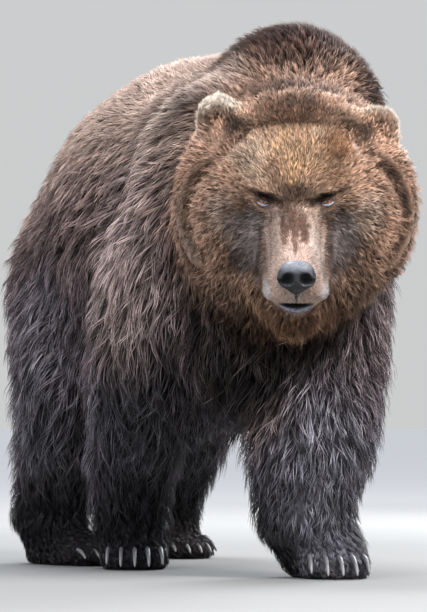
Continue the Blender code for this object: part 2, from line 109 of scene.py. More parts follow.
# the head's own axes: X to its left, -Y along the muzzle, Z over the brow

headPose = {"bow": 25.0, "turn": -24.0, "eyesBehind": 0.014}
headTurn = Euler((math.radians(headPose["bow"]), 0, math.radians(headPose["turn"])), "XYZ").to_matrix()
betweenEyes = (middle("eye_left") + middle("eye_right")) / 2
headCentre = betweenEyes - headTurn @ Vector((0, headPose["eyesBehind"], 0))
headAxes = np.array(headTurn)


def toHead(places):
    return (places - np.array(headCentre)) @ headAxes


def fromHead(places):
    return np.asarray(places) @ headAxes.T + np.array(headCentre)


def headVector(x, y, z):
    return headAxes @ np.array((x, y, z))


# camera

camera = {
    "azimuth": 23.80,
    "climb": 1.274,
    "distance": 9.2023,
    "lens": 248.65,
    "aim": (-0.2387, -0.0067, -0.2161),  # from the middle of the head
}


def makeCamera():
    turn = math.radians(camera["azimuth"])
    climb = math.radians(camera["climb"])
    sight = Vector((math.sin(turn) * math.cos(climb), math.cos(turn) * math.cos(climb), math.sin(climb)))
    aim = middle("head") + Vector(camera["aim"])
    lens = bpy.data.cameras.new("camera")
    lens.lens = camera["lens"]
    lens.sensor_width = 36
    lens.clip_end = 60
    eye = bpy.data.objects.new("camera", lens)
    eye.location = aim - sight * camera["distance"]
    eye.rotation_mode = "QUATERNION"
    eye.rotation_quaternion = sight.to_track_quat("-Z", "Y")
    scene.collection.objects.link(eye)
    scene.camera = eye
    return eye


viewpoint = makeCamera()


# shader maths: a socket that can be added, taken away and multiplied

class Wire:
    def __init__(self, tree, socket=None):
        self.tree = tree
        self.socket = socket

    def make(self, kind, settings=None, inputs=None, output=0):
        node = self.tree.nodes.new(kind)
        for name, value in (settings or {}).items():
            setattr(node, name, value)
        for name, value in (inputs or {}).items():
            if isinstance(value, Wire):
                self.tree.links.new(value.socket, node.inputs[name])
            else:
                node.inputs[name].default_value = value
        return Wire(self.tree, node.outputs[output])

    def sum(self, operation, first, second):
        return self.make("ShaderNodeMath", {"operation": operation}, {0: first, 1: second})

    def __add__(self, other):
        return self.sum("ADD", self, other)

    def __radd__(self, other):
        return self.sum("ADD", other, self)

    def __sub__(self, other):
        return self.sum("SUBTRACT", self, other)

    def __rsub__(self, other):
        return self.sum("SUBTRACT", other, self)

    def __mul__(self, other):
        return self.sum("MULTIPLY", self, other)

    def __rmul__(self, other):
        return self.sum("MULTIPLY", other, self)

    def __pow__(self, other):
        return self.sum("POWER", self, other)

    def between(self, low, high):  # 0 below low, 1 above high
        settings = {"interpolation_type": "SMOOTHSTEP"}
        return self.make("ShaderNodeMapRange", settings, {0: self, 1: low, 2: high})

    def attribute(self, name, output=0):
        return self.make("ShaderNodeAttribute", {"attribute_name": name}, output=output)

    def blend(self, first, second, share):
        return self.make("ShaderNodeMix", {"data_type": "RGBA"}, {0: share, 6: first, 7: second}, 2)

    def part(self, name):
        return self.make("ShaderNodeSeparateXYZ", None, {0: self}, "XYZ".index(name))

    def noise(self, place, scale, detail=3.0, roughness=0.55):
        inputs = {"Vector": place, "Scale": scale, "Detail": detail, "Roughness": roughness}
        return self.make("ShaderNodeTexNoise", None, inputs)

    def stretch(self, place, scale):
        return self.make("ShaderNodeMapping", None, {"Vector": place, "Scale": scale})

    def scaled(self, tint, amount):
        return self.make("ShaderNodeVectorMath", {"operation": "SCALE"}, {0: tint, "Scale": amount})

    def bump(self, height, strength, distance):
        inputs = {"Strength": strength, "Distance": distance, "Height": height}
        return self.make("ShaderNodeBump", None, inputs)

    def objectPlace(self):
        return self.make("ShaderNodeTexCoord", output=3)


def finish(name, constants):
    # a material with its plain values set on the shader itself
    material = bpy.data.materials.new(name)
    material.use_nodes = True
    tree = material.node_tree
    shader = next(node for node in tree.nodes if node.type == "BSDF_PRINCIPLED")
    for socket, value in constants.items():
        shader.inputs[socket].default_value = value
    return material, Wire(tree), shader


def connect(wire, shader, **links):
    for name, value in links.items():
        wire.tree.links.new(value.socket, shader.inputs[name.replace("_", " ")])


def colour(red, green, blue):
    return (red, green, blue, 1.0)


# floor and light

# the floor is darker near the bear and paler far off: painted light that evens out the lamps' pool of light
stage = {"floor": colour(0.198, 0.196, 0.192), "farFloor": colour(0.735, 0.718, 0.69), "floorSize": 90,
         "horizon": colour(0.655, 0.66, 0.665), "sky": colour(0.88, 0.94, 1.06), "skyPower": 0.92}
lamps = {
    # place, size across, watts, colour
    "key": ((1.7, -3.8, 4.1), 2.2, 400, (1.0, 0.975, 0.94)),
    "side": ((-3.6, -2.4, 3.4), 2.6, 150, (0.92, 0.96, 1.0)),
    "top": ((-0.4, 1.2, 4.6), 2.6, 230, (0.97, 0.985, 1.0)),
    "rim": ((3.4, 2.2, 2.8), 1.8, 240, (0.93, 0.97, 1.0)),
}


def makeStage():
    floor = bpy.data.objects.new("floor", bpy.data.meshes.new("floor"))
    mesh = bmesh.new()
    bmesh.ops.create_grid(mesh, x_segments=1, y_segments=1, size=stage["floorSize"] / 2)
    mesh.to_mesh(floor.data)
    mesh.free()
    material, wire, shader = finish("floor", {"Roughness": 0.85})
    place = wire.objectPlace()
    away = wire.make("ShaderNodeVectorMath", {"operation": "LENGTH"}, {0: place}, "Value")
    # paler with distance from the bear, as painted light making up for the lamps' falloff
    far = (away + 0.4 * wire.noise(place, 1.5)).between(1.5, 8.0)
    connect(wire, shader, Base_Color=wire.blend(stage["floor"], stage["farFloor"], far))
    floor.data.materials.append(material)
    scene.collection.objects.link(floor)
    world = bpy.data.worlds.new("studio")
    world.use_nodes = True
    backdrop = world.node_tree.nodes["Background"]
    backdrop.inputs["Strength"].default_value = stage["skyPower"]
    sky = Wire(world.node_tree)
    climb = sky.make("ShaderNodeTexCoord").part("Z")
    shade = sky.blend(stage["horizon"], stage["sky"], climb.between(0.05, 0.6))
    world.node_tree.links.new(shade.socket, backdrop.inputs["Color"])
    scene.world = world
    target = middle("head", "trunk")
    for name, (place, size, watts, tint) in lamps.items():
        lamp = bpy.data.lights.new(name, "AREA")
        lamp.shape = "DISK"
        lamp.size = size
        lamp.energy = watts
        lamp.color = tint
        holder = bpy.data.objects.new(name, lamp)
        holder.location = place
        holder.rotation_mode = "QUATERNION"
        holder.rotation_quaternion = (target - Vector(place)).to_track_quat("-Z", "Y")
        scene.collection.objects.link(holder)


makeStage()
scene.view_settings.view_transform = "Standard"
print("camera, floor and light are set")


# the skin: one closed surface through all the flesh, smoothed, then drawn in by the depth of the coat

sides = ("left", "right")
ends = ("front", "hind")
fleshNodes = ["head", "lower_jaw", "neck", "trunk", "tail", "ear_left", "ear_right"]
fleshNodes += [f"{part}_{end}_leg_{side}" for part in ("upper", "lower") for end in ends for side in sides]
fleshNodes += [f"front_paw_{side}" for side in sides] + [f"hind_foot_{side}" for side in sides]
claws = [f"claw_{end}_{side}_{number}" for end in ends for side in sides for number in range(1, 6)]

skinBuild = {
    "overlap": 0.0006,  # neighbours reach into each other by this
    "grain": 0.0105,  # size of one face of the body
    "bodyRounds": 46,  # smoothing of the body
    "faceRounds": 7,  # and of the head, which keeps its shapes
    "giveBack": 0.9,  # of what the smoothing takes off, this much is put back evenly
    "backRounds": 24,  # how far that is spread
    "fineRounds": 5,  # smoothing of the finer faces
    "coatRounds": 34,  # one kind of coat passes softly into the next
    "steps": 6,  # drawing in goes by small steps
    "sole": 0.0012,  # how far the soles stand off the floor
}


def meshArrays(mesh):
    mesh.update()
    places = np.empty(len(mesh.vertices) * 3, np.float32)
    mesh.vertices.foreach_get("co", places)
    normals = np.empty(len(mesh.vertices) * 3, np.float32)
    mesh.vertex_normals.foreach_get("vector", normals)
    links = np.empty(len(mesh.edges) * 2, np.int32)
    mesh.edges.foreach_get("vertices", links)
    return places.reshape(-1, 3).astype(float), normals.reshape(-1, 3).astype(float), links.reshape(-1, 2)


def setPlaces(mesh, places):
    mesh.vertices.foreach_set("co", places.astype(np.float32).ravel())
    mesh.update()


def setMarks(mesh, name, kind, rows):
    # values on the points of a mesh, for its material to read
    field = {"FLOAT": "value", "FLOAT_VECTOR": "vector", "FLOAT_COLOR": "color"}[kind]
    mesh.attributes.new(name, kind, "POINT").data.foreach_set(field, rows.astype(np.float32).ravel())


def addPiece(name, mesh):
    mesh.polygons.foreach_set("use_smooth", np.ones(len(mesh.polygons), bool))
    piece = bpy.data.objects.new(name, mesh)
    scene.collection.objects.link(piece)
    return piece


def toMesh(shape, name):
    # the shape laid into a new mesh, and let go
    mesh = bpy.data.meshes.new(name)
    shape.to_mesh(mesh)
    shape.free()
    return mesh


def evenOut(values, links, rounds, share=0.5):
    # each point takes on part of the mean of its neighbours
    first, second = links.T
    count = len(values)
    neighbours = np.maximum(np.bincount(first, minlength=count) + np.bincount(second, minlength=count), 1)
    values = values.copy()
    share = np.broadcast_to(share, (count,))
    for _ in range(rounds):
        for column in range(values.shape[1]):
            current = values[:, column]
            total = np.bincount(first, current[second], count) + np.bincount(second, current[first], count)
            values[:, column] = current + share * (total / neighbours - current)
    return values


def mergedCopy(node, swell=0.0):
    # a node's own shape with its loose triangles merged, pushed out a little
    copy = bmesh.new()
    copy.from_mesh(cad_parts[node].data)
    bmesh.ops.remove_doubles(copy, verts=copy.verts, dist=0.00001)
    copy.normal_update()
    for vertex in copy.verts:
        vertex.co += vertex.normal * swell
    return copy


def voxelMesh(mesh, grain):
    # the mesh rebuilt from even small faces, inner leftovers dropped
    rough = bpy.data.objects.new("rough", mesh)
    scene.collection.objects.link(rough)
    remesh = rough.modifiers.new("grain", "REMESH")
    remesh.mode = "VOXEL"
    remesh.voxel_size = grain
    remesh.use_smooth_shade = True
    bpy.context.view_layer.update()
    depsgraph = bpy.context.evaluated_depsgraph_get()
    fine = bpy.data.meshes.new_from_object(rough.evaluated_get(depsgraph))
    bpy.data.objects.remove(rough)
    shape = bmesh.new()
    shape.from_mesh(fine)
    keepBiggest(shape)
    shape.to_mesh(fine)
    shape.free()
    return fine


def keepBiggest(shape):
    groups = []
    seen = set()
    for start in shape.verts:
        if start in seen:
            continue
        group = {start}
        edge = [start]
        while edge:
            vertex = edge.pop()
            for link in vertex.link_edges:
                other = link.other_vert(vertex)
                if other not in group:
                    group.add(other)
                    edge.append(other)
        seen |= group
        groups.append(group)
    groups.sort(key=len)
    for group in groups[:-1]:
        bmesh.ops.delete(shape, geom=list(group), context="VERTS")


def joinFlesh():
    joined = bmesh.new()
    for node in fleshNodes:
        part = toMesh(mergedCopy(node, skinBuild["overlap"]), "part")
        joined.from_mesh(part)
        bpy.data.meshes.remove(part)
    return voxelMesh(toMesh(joined, "flesh"), skinBuild["grain"])


eyeAside = 0.0695  # of an eye from the head's middle

# where finer faces are needed: the whole face, then round the eyes, the nose and the mouth
fineZones = [
    {"at": (0, -0.010, -0.05), "size": (0.150, 0.20, 0.19)},
    {"at": (eyeAside, 0.0, 0.003), "size": (0.040, 0.035, 0.034), "mirror": True},
    {"at": (0, -0.175, -0.11), "size": (0.065, 0.065, 0.088)},
]
eyeZones = [{"at": (eyeAside, 0.0, 0.001), "size": (0.027, 0.030, 0.022), "mirror": True}]


def insideZone(local, zone):
    # distance from the zone's middle, 1 at its edge
    return np.linalg.norm((mirrored(local, zone) - zone["at"]) / zone["size"], axis=1)


def refine(mesh, zones):
    shape = bmesh.new()
    shape.from_mesh(mesh)
    shape.verts.ensure_lookup_table()
    local = toHead(np.array([vertex.co for vertex in shape.verts]))
    inside = np.min([insideZone(local, zone) for zone in zones], axis=0) < 1
    edges = [edge for edge in shape.edges if inside[edge.verts[0].index] and inside[edge.verts[1].index]]
    bmesh.ops.subdivide_edges(shape, edges=edges, cuts=1, use_grid_fill=True)
    bmesh.ops.triangulate(shape, faces=[face for face in shape.faces if len(face.verts) > 4])
    shape.to_mesh(mesh)
    shape.free()


skinMesh = joinFlesh()
places, normals, links = meshArrays(skinMesh)
onHead = toHead(places)
headZone = {"at": (0, 0.06, -0.06), "size": (1, 1, 1.1)}
headShare = 1 - ease(0.24, 0.34, insideZone(onHead, headZone))
rough = places
places = evenOut(places, links, skinBuild["faceRounds"])
places = evenOut(places, links, skinBuild["bodyRounds"] - skinBuild["faceRounds"], 0.5 * (1 - headShare))
setPlaces(skinMesh, places)
places, normals, links = meshArrays(skinMesh)
taken = np.sum((rough - places) * normals, axis=1, keepdims=True)
places = places + skinBuild["giveBack"] * normals * evenOut(taken, links, skinBuild["backRounds"])
setPlaces(skinMesh, places)
refine(skinMesh, fineZones)
refine(skinMesh, fineZones[1:])
refine(skinMesh, eyeZones)
places, normals, links = meshArrays(skinMesh)
fineShare = 1 - ease(0.9, 1.05, np.min([insideZone(toHead(places), zone) for zone in fineZones], axis=0))
places = evenOut(places, links, skinBuild["fineRounds"], 0.5 * fineShare)
setPlaces(skinMesh, places)
print("skin joined:", len(skinMesh.vertices), "points")


# kinds of coat, from the bare muzzle to the long belly fringe
# depth: skin to tips; length and width: of one strand; close: strands on a square metre;
# lock: distance between locks; bunch: how far a lock's tips draw together; lift: how far
# the tips stand off; ragged: how much that differs; droop: how far they hang; gloss: wetness;
# contrast: how much the locks differ in tone

coatColumns = ("depth", "length", "width", "close", "lock", "bunch", "lift", "ragged", "droop", "gloss",
               "contrast")
coatTable = {
    "muzzle": (0.0032, 0.0100, 0.0010, 520000, 0.003, 0.25, 0.85, 0.4, 0.0, 0.25, 1.8),
    "face": (0.0080, 0.0185, 0.0010, 400000, 0.0045, 0.45, 0.85, 0.6, 0.0, 0.2, 1.5),
    "cheek": (0.0150, 0.0300, 0.0012, 170000, 0.0070, 0.55, 0.90, 0.7, 0.05, 0.2, 1.5),
    "beard": (0.024, 0.043, 0.0018, 76000, 0.013, 0.70, 0.9, 0.8, 0.25, 0.2, 1.0),
    "ear": (0.0060, 0.0200, 0.0012, 260000, 0.009, 0.4, 1.1, 0.7, 0.0, 0.1, 0.5),
    "ruff": (0.022, 0.034, 0.0018, 76000, 0.0115, 0.5, 1.0, 0.6, 0.05, 0.2, 0.9),
    "hump": (0.020, 0.046, 0.0017, 76000, 0.012, 0.40, 1.05, 0.35, 0.0, 0.2, 0.8),
    "back": (0.024, 0.046, 0.0022, 42000, 0.015, 0.40, 0.78, 0.28, 0.0, 0.25, 0.5),
    "flank": (0.034, 0.086, 0.0032, 17500, 0.025, 0.82, 0.95, 0.75, 0.10, 0.5, 1.35),
    "belly": (0.034, 0.100, 0.0033, 13500, 0.028, 0.88, 0.9, 0.9, 0.35, 0.5, 1.3),
    "upperLeg": (0.028, 0.078, 0.0027, 22500, 0.021, 0.84, 0.90, 0.65, 0.15, 0.6, 1.30),
    "lowerLeg": (0.021, 0.056, 0.0021, 34000, 0.015, 0.78, 0.90, 0.55, 0.12, 0.7, 1.10),
    "foot": (0.0080, 0.0290, 0.0016, 150000, 0.011, 0.7, 0.9, 0.7, 0.1, 0.6, 1.0),
    "tail": (0.018, 0.046, 0.0026, 30000, 0.016, 0.7, 1.0, 0.5, 0.2, 0.4, 1.0),
}
coatKinds = {kind: dict(zip(coatColumns, row)) for kind, row in coatTable.items()}
kindNames = list(coatKinds)


def nearestNodes(places):
    # the number of the flesh node nearest to each place
    corners = []
    triangles = []
    owners = []
    for number, node in enumerate(fleshNodes):
        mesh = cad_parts[node].data
        start = len(corners)
        corners += [vertex.co.copy() for vertex in mesh.vertices]
        triangles += [[start + index for index in face.vertices] for face in mesh.polygons]
        owners += [number] * len(mesh.polygons)
    tree = BVHTree.FromPolygons(corners, triangles)
    return np.array([owners[tree.find_nearest(place)[2]] for place in places.tolist()])


def belongs(owner, *beginnings):
    numbers = [number for number, node in enumerate(fleshNodes) if node.startswith(beginnings)]
    return np.isin(owner, numbers).astype(float)


def eyeDistance(local):
    # how far from the nearer eye, the slit's long way counting less
    away = local.copy()
    away[:, 0] = np.abs(away[:, 0]) - eyeAside
    return np.linalg.norm(away / (1.25, 1.3, 1.0), axis=1)


def shareOut(places, normals, owner):
    # how much of each kind of coat grows at each place
    local = toHead(places)
    x, y, z = local.T
    head = belongs(owner, "head", "lower_jaw")
    narrow = 1 - ease(0.064, 0.084, np.abs(x)) * ease(-0.20, -0.12, z)
    bare = np.maximum((1 - ease(-0.050, 0.012, y)) * narrow, 1 - ease(0.017, 0.036, eyeDistance(local)))
    beard = ease(0.192, 0.232, -z) * ease(-0.175, -0.12, y) * (1 - ease(0.09, 0.15, np.abs(x)))
    side = np.hypot(x, np.minimum(z + 0.06, 0) * 0.9)
    cheek = np.maximum(ease(0.10, 0.20, side), ease(0.14, 0.24, y)) * (1 - beard)
    bare = bare * (1 - beard)
    trunk = belongs(owner, "trunk")
    above = ease(0.10, 0.65, normals[:, 2] + 0.3 * ease(0.95, 1.2, places[:, 2]))
    below = ease(0.15, 0.7, -normals[:, 2]) * (1 - ease(0.45, 0.62, places[:, 2]))
    hump = ease(1.00, 1.10, places[:, 2]) * (1 - ease(-0.20, 0.06, places[:, 1]))
    share = {
        "muzzle": head * bare,
        "beard": head * beard,
        "cheek": head * (1 - bare) * cheek,
        "face": head * (1 - bare) * (1 - cheek) * (1 - beard),
        "ear": belongs(owner, "ear"),
        "ruff": belongs(owner, "neck"),
        "hump": trunk * above * hump,
        "back": trunk * above * (1 - hump),
        "belly": trunk * below,
        "flank": trunk * (1 - above) * (1 - below),
        "upperLeg": belongs(owner, "upper"),
        "lowerLeg": belongs(owner, "lower_front", "lower_hind"),
        "foot": belongs(owner, "front_paw", "hind_foot"),
        "tail": belongs(owner, "tail"),
    }
    return np.stack([share[kind] for kind in kindNames], axis=1)


def coatValue(name, shares):
    return shares @ np.array([coatKinds[kind][name] for kind in kindNames])


owner = nearestNodes(places)
shares = shareOut(places, normals, owner)
onHead = toHead(places)
steady = np.where(belongs(owner, "head", "lower_jaw", "ear") > 0, 0.10, 0.5)
shares = evenOut(shares, links, skinBuild["coatRounds"], steady)
shares /= shares.sum(axis=1, keepdims=True)
print("coat shared out")


# drawing the skin in under the coat

depth = coatValue("depth", shares)
onFloor = (1 - ease(0.004, 0.034, places[:, 2])) * ease(0.0, 0.6, -normals[:, 2])
depth = depth * (1 - onFloor)
noseBox = [np.array(corner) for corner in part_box("nose_pad")]
noseMiddle = toHead((noseBox[0] + noseBox[1])[None] / 2)[0]
noseZone = {"at": noseMiddle, "size": (0.046, 0.040, 0.036)}
nearNose = 1 - ease(0.9, 1.35, insideZone(onHead, noseZone))
depth = depth * (1 - nearNose)
for step in range(skinBuild["steps"]):
    places, normals, links = meshArrays(skinMesh)
    places = places - normals * depth[:, None] / skinBuild["steps"]
    places = evenOut(places, links, 1, 0.35)
    places[:, 2] = np.maximum(places[:, 2], skinBuild["sole"])
    setPlaces(skinMesh, places)
places, normals, links = meshArrays(skinMesh)
print("skin drawn in")


# folds and ridges that run along a line: on the head in its own axes, on the body in the frame's
# lift: in or out, most on the line and none at its width; fur: how short the coat is kept there

faceFold = [(0.126, 0.140, 0.125), (0.145, 0.127, 0.101), (0.168, 0.115, 0.078), (0.191, 0.108, 0.053),
            (0.215, 0.111, 0.024), (0.232, 0.115, -0.003), (0.244, 0.113, -0.035), (0.249, 0.106, -0.073),
            (0.243, 0.095, -0.109), (0.228, 0.081, -0.142), (0.208, 0.069, -0.167)]
# the rim of the ruff on either side; its outline is painted pale as rim light
rimRight = [(-0.216, 0.222, 0.080), (-0.229, 0.190, 0.053), (-0.243, 0.165, 0.012), (-0.251, 0.144, -0.030),
            (-0.261, 0.143, -0.070), (-0.257, 0.129, -0.107), (-0.243, 0.110, -0.141),
            (-0.224, 0.095, -0.170)]
rimLeft = [(0.240, 0.165, 0.050), (0.259, 0.162, 0.010), (0.268, 0.144, -0.036), (0.271, 0.135, -0.080),
           (0.262, 0.120, -0.125), (0.236, 0.107, -0.198)]
muzzleEdge = [(0.057, -0.004, -0.014), (0.064, -0.012, -0.047), (0.069, -0.066, -0.074),
              (0.072, -0.105, -0.106), (0.073, -0.118, -0.140)]
browCrease = [(0.038, -0.015, 0.004), (0.055, -0.004, 0.0155), (0.075, 0.003, 0.0210),
              (0.091, 0.011, 0.0205)]
browRidge = [(0.042, -0.012, 0.022), (0.060, -0.002, 0.0320), (0.082, 0.006, 0.0360),
             (0.108, 0.022, 0.0340)]
crownEdge = [(0, 0.133, 0.145), (0.050, 0.133, 0.141), (0.085, 0.135, 0.133), (0.126, 0.138, 0.124)]
humpSide = [(0.060, -0.36, 1.20), (0.115, -0.34, 1.14), (0.150, -0.33, 1.07)]
shoulderRidge = [(-0.095, -0.320, 1.135), (-0.150, -0.312, 1.114), (-0.225, -0.285, 1.071),
                 (-0.269, -0.244, 1.015), (-0.299, -0.261, 0.934), (-0.318, -0.291, 0.853),
                 (-0.331, -0.214, 0.787)]


def shifted(points, move, scale=1.0):
    return [tuple(scale * value + step for value, step in zip(point, move)) for point in points]


def fold(points, width, lift, fur=1.0, head=True, mirror=False):  # head: in the head's axes
    return dict(points=points, width=width, lift=lift, fur=fur, head=head, mirror=mirror)


foldLines = [
    # the fold round the face and the cheek inside it, then the two rims of the ruff
    fold(faceFold, 0.033, -0.032, fur=0.25, mirror=True),
    fold(shifted(faceFold[1:], (0, -0.008, 0), 0.90), 0.028, 0.012, fur=0.90, mirror=True),
    fold(rimRight, 0.050, 0.018),
    fold(rimLeft, 0.045, 0.012),
    # beside the muzzle, and the ledge of the crown
    fold(muzzleEdge, 0.013, -0.0070, fur=0.75, mirror=True),
    fold(crownEdge, 0.017, -0.0080, fur=0.55, mirror=True),
    fold(shifted(crownEdge, (0, 0.022, 0.006)), 0.024, 0.0075, mirror=True),
    # the sides of the hump behind the head
    fold(humpSide, 0.100, 0.014, head=False, mirror=True),
    # the crease over each eye, and the brow above it
    fold(browCrease, 0.0110, -0.0110, fur=0.45, mirror=True),
    fold(browRidge, 0.017, 0.0085, fur=0.9, mirror=True),
    # behind and on the ridge of the right shoulder
    fold(shifted(shoulderRidge, (0.0, 0.055, 0.0)), 0.070, -0.016, head=False),
    fold(shifted(shoulderRidge, (0.0, -0.012, 0.0)), 0.055, 0.011, fur=0.85, head=False),
]


def lineDistance(places, points):
    best = np.full(len(places), 9.0)
    for start, end in zip(points, points[1:]):
        start, end = np.array(start), np.array(end)
        span = end - start
        share = np.clip((places - start) @ span / (span @ span), 0, 1)
        best = np.minimum(best, np.linalg.norm(places - start - share[:, None] * span, axis=1))
    return best


def lineShare(places, line, width):
    # 1 on the line, 0 from its width on
    spots = mirrored(toHead(places) if line["head"] else places, line)
    return np.clip(1 - (lineDistance(spots, line["points"]) / width) ** 2, 0, 1) ** 2


def pushLines(places, normals, shares):
    outer = coatFace(places, normals, shares)
    for line in foldLines:
        places = places + normals * (line["lift"] * lineShare(outer, line, line["width"]))[:, None]
    return places


def coatFace(places, normals, shares):
    # where the outer face of the coat lies over these places of the skin
    return places + normals * coatValue("depth", shares)[:, None]


def furScale(places, normals, shares):
    # how short the coat is kept in the folds and round the ears
    scale = np.ones(len(places))
    outer = coatFace(places, normals, shares)
    for line in foldLines:
        scale *= 1 - (1 - line["fur"]) * lineShare(outer, line, line["width"] * 1.15)
    for side in sides:
        away = np.linalg.norm(places - np.array(middle(f"ear_{side}")), axis=1)
        scale *= 1 - 0.45 * (1 - ease(0.055, 0.105, away))
    return scale


# the face: pushes and hollows in the head's own axes

def push(at, size, move, mirror=False):
    return dict(at=at, size=size, push=move, mirror=mirror)


faceShapes = [
    # brow ridges over the eyes, and the hollow of the forehead between them
    push((0.078, 0.006, 0.034), (0.050, 0.040, 0.021), (0, -0.0120, -0.001), mirror=True),
    push((0.034, -0.004, 0.022), (0.030, 0.034, 0.022), (0, -0.0050, 0.0), mirror=True),
    push((0, 0.012, 0.075), (0.020, 0.070, 0.065), (0, 0.0050, -0.002)),
    # sockets, and the furrow from the inner corner down beside the muzzle
    push((eyeAside, -0.004, 0.002), (0.034, 0.035, 0.021), (0, 0.0045, 0), mirror=True),
    push((0.046, -0.018, -0.018), (0.014, 0.045, 0.028), (-0.001, 0.0050, 0), mirror=True),
    push((0.063, -0.052, -0.070), (0.020, 0.060, 0.050), (-0.0045, 0.002, 0), mirror=True),
    push((0.072, -0.085, -0.100), (0.030, 0.095, 0.070), (-0.0100, 0, 0), mirror=True),
    push((0.060, -0.075, -0.045), (0.026, 0.075, 0.045), (-0.0060, 0, 0), mirror=True),
    push((0.056, -0.125, -0.150), (0.030, 0.055, 0.028), (0.0075, -0.003, -0.003), mirror=True),
    # the pads of the upper lip, and the small dip above the nose
    push((0.036, -0.150, -0.140), (0.030, 0.040, 0.030), (0.003, -0.0035, 0), mirror=True),
    push((0, -0.135, -0.040), (0.040, 0.034, 0.020), (0, 0.0, -0.0025)),
    # the mouth: a slit that rises at its corners, and the lip below it
    push((0, -0.158, -0.1690), (0.044, 0.034, 0.0065), (0, 0.017, 0)),
    push((0.040, -0.148, -0.1660), (0.026, 0.034, 0.0060), (0, 0.010, 0), mirror=True),
    push((0, -0.150, -0.1850), (0.046, 0.030, 0.012), (0, -0.003, 0)),
    # the groove under the nose
    push((0, -0.178, -0.140), (0.0060, 0.030, 0.022), (0, 0.0030, 0)),
]


def pushed(local, shapes, falloff):
    # each shape moves what lies within its size, most at its middle
    for shape in shapes:
        away = np.sum(((mirrored(local, shape) - shape["at"]) / shape["size"]) ** 2, axis=1)
        move = np.outer(np.clip(1 - away, 0, 1) ** falloff, shape["push"])
        if shape.get("mirror"):
            move[:, 0] *= np.sign(local[:, 0])
        local = local + move
    return local


# eyes and lids

eyeBuild = {
    "radius": 0.0150,
    "iris": 0.0086,
    "pupil": 0.0034,
    "bulge": 0.0011,  # of the clear front
    "openWide": 0.0136,  # half the slit's length
    "openUp": 0.0044,  # from the slit's middle line to the upper lid
    "openDown": 0.0062,
    "roundWide": 1.7,  # 2 makes the slit an ellipse, less makes its corners sharper
    "roundTall": 1.9,
    "tilt": 15.0,  # the inner corner lies lower
    "lookUp": 16.0,  # the eye's own axis above the muzzle's line
    "lookOut": 7.0,
    "lid": 0.0017,  # thickness of a lid over the ball
    "rimOver": 0.0007,  # the damp rim's middle stands this far off the ball
    "rimThin": 0.0010,  # its radius at the upper lid
    "rimSwell": 0.0013,  # and what the lower one has more
    "irisInner": (0.30, 0.085, 0.018),
    "irisOuter": (0.10, 0.030, 0.010),
    "pupilTint": (0.004, 0.003, 0.003),
    "ballTint": (0.045, 0.030, 0.026),
    "rimUpper": (0.035, 0.024, 0.022),
    "lowerLidGlint": ((0.36, 0.37, 0.44), (0.17, 0.165, 0.21)),  # painted glint of light on the damp lower lid, and its blotches
}


def eyeMatrix(side):
    # the eye's own axes in the head: X outwards, -Y out of the eye, Z up
    outwards = 1 if side == "left" else -1
    look = Euler((math.radians(-eyeBuild["lookUp"]), 0, math.radians(eyeBuild["lookOut"] * outwards)), "XYZ")
    tilt = Matrix.Rotation(math.radians(-eyeBuild["tilt"] * outwards), 3, "Y")
    return headAxes @ np.array(look.to_matrix() @ tilt)


def lidOpening(flat, height):
    # 1 on the rim of the slit, less inside it
    tall = np.where(height > 0, eyeBuild["openUp"], eyeBuild["openDown"])
    wide = np.abs(flat / eyeBuild["openWide"]) ** eyeBuild["roundWide"]
    return np.sqrt(wide + np.abs(height / tall) ** eyeBuild["roundTall"])


def shapeLids(places):
    for side in sides:
        axes = eyeMatrix(side)
        centre = np.array(middle(f"eye_{side}"))
        local = (places - centre) @ axes
        flat, out, height = local.T
        opening = lidOpening(flat, height)
        across = np.hypot(flat, height)
        ball = eyeBuild["radius"] + eyeBuild["lid"]
        lid = -np.sqrt(np.maximum(ball**2 - across**2, 0.0))
        front = out < 0.012
        near = (across < ball * 0.97) & front
        hold = (1 - ease(1.25, 2.5, opening)) * near
        moved = out * (1 - hold) + np.minimum(lid, out + 0.004) * hold
        inside = (opening < 0.98) & near
        moved = np.where(inside, -eyeBuild["radius"] * 0.45, moved)
        local[:, 1] = moved
        places = local @ axes.T + centre
    return places


def rimLoop(side, count=44):
    # points round the slit, just over the ball
    axes = eyeMatrix(side)
    centre = np.array(middle(f"eye_{side}"))
    points = []
    for step in range(count):
        turn = 2 * math.pi * step / count
        wide, up = math.cos(turn), math.sin(turn)
        tall = eyeBuild["openUp"] if up > 0 else eyeBuild["openDown"]
        flat = eyeBuild["openWide"] * math.copysign(abs(wide) ** (2 / eyeBuild["roundWide"]), wide)
        height = tall * math.copysign(abs(up) ** (2 / eyeBuild["roundTall"]), up)
        reach = (eyeBuild["radius"] + eyeBuild["rimOver"]) ** 2 - flat**2 - height**2
        points.append(np.array((flat, -math.sqrt(max(reach, 0)), height)) @ axes.T + centre)
    return points


setPlaces(skinMesh, pushLines(places, normals, shares))
places = meshArrays(skinMesh)[0]
places = shapeLids(fromHead(pushed(toHead(places), faceShapes, 2)))
setPlaces(skinMesh, places)
skin = addPiece("skin", skinMesh)
print("face shaped")


# the lie of the coat: one direction at each point of the skin, evened out so that no seam shows

def footTurn(node):
    # which way a foot points, from its claws
    name = node.replace("front_paw", "claw_front").replace("hind_foot", "claw_hind")
    toes = sum((middle(f"{name}_{number}") for number in range(1, 6)), Vector()) / 5
    reach = toes - middle(node)
    return np.array(Vector((reach.x, reach.y, 0)).normalized())


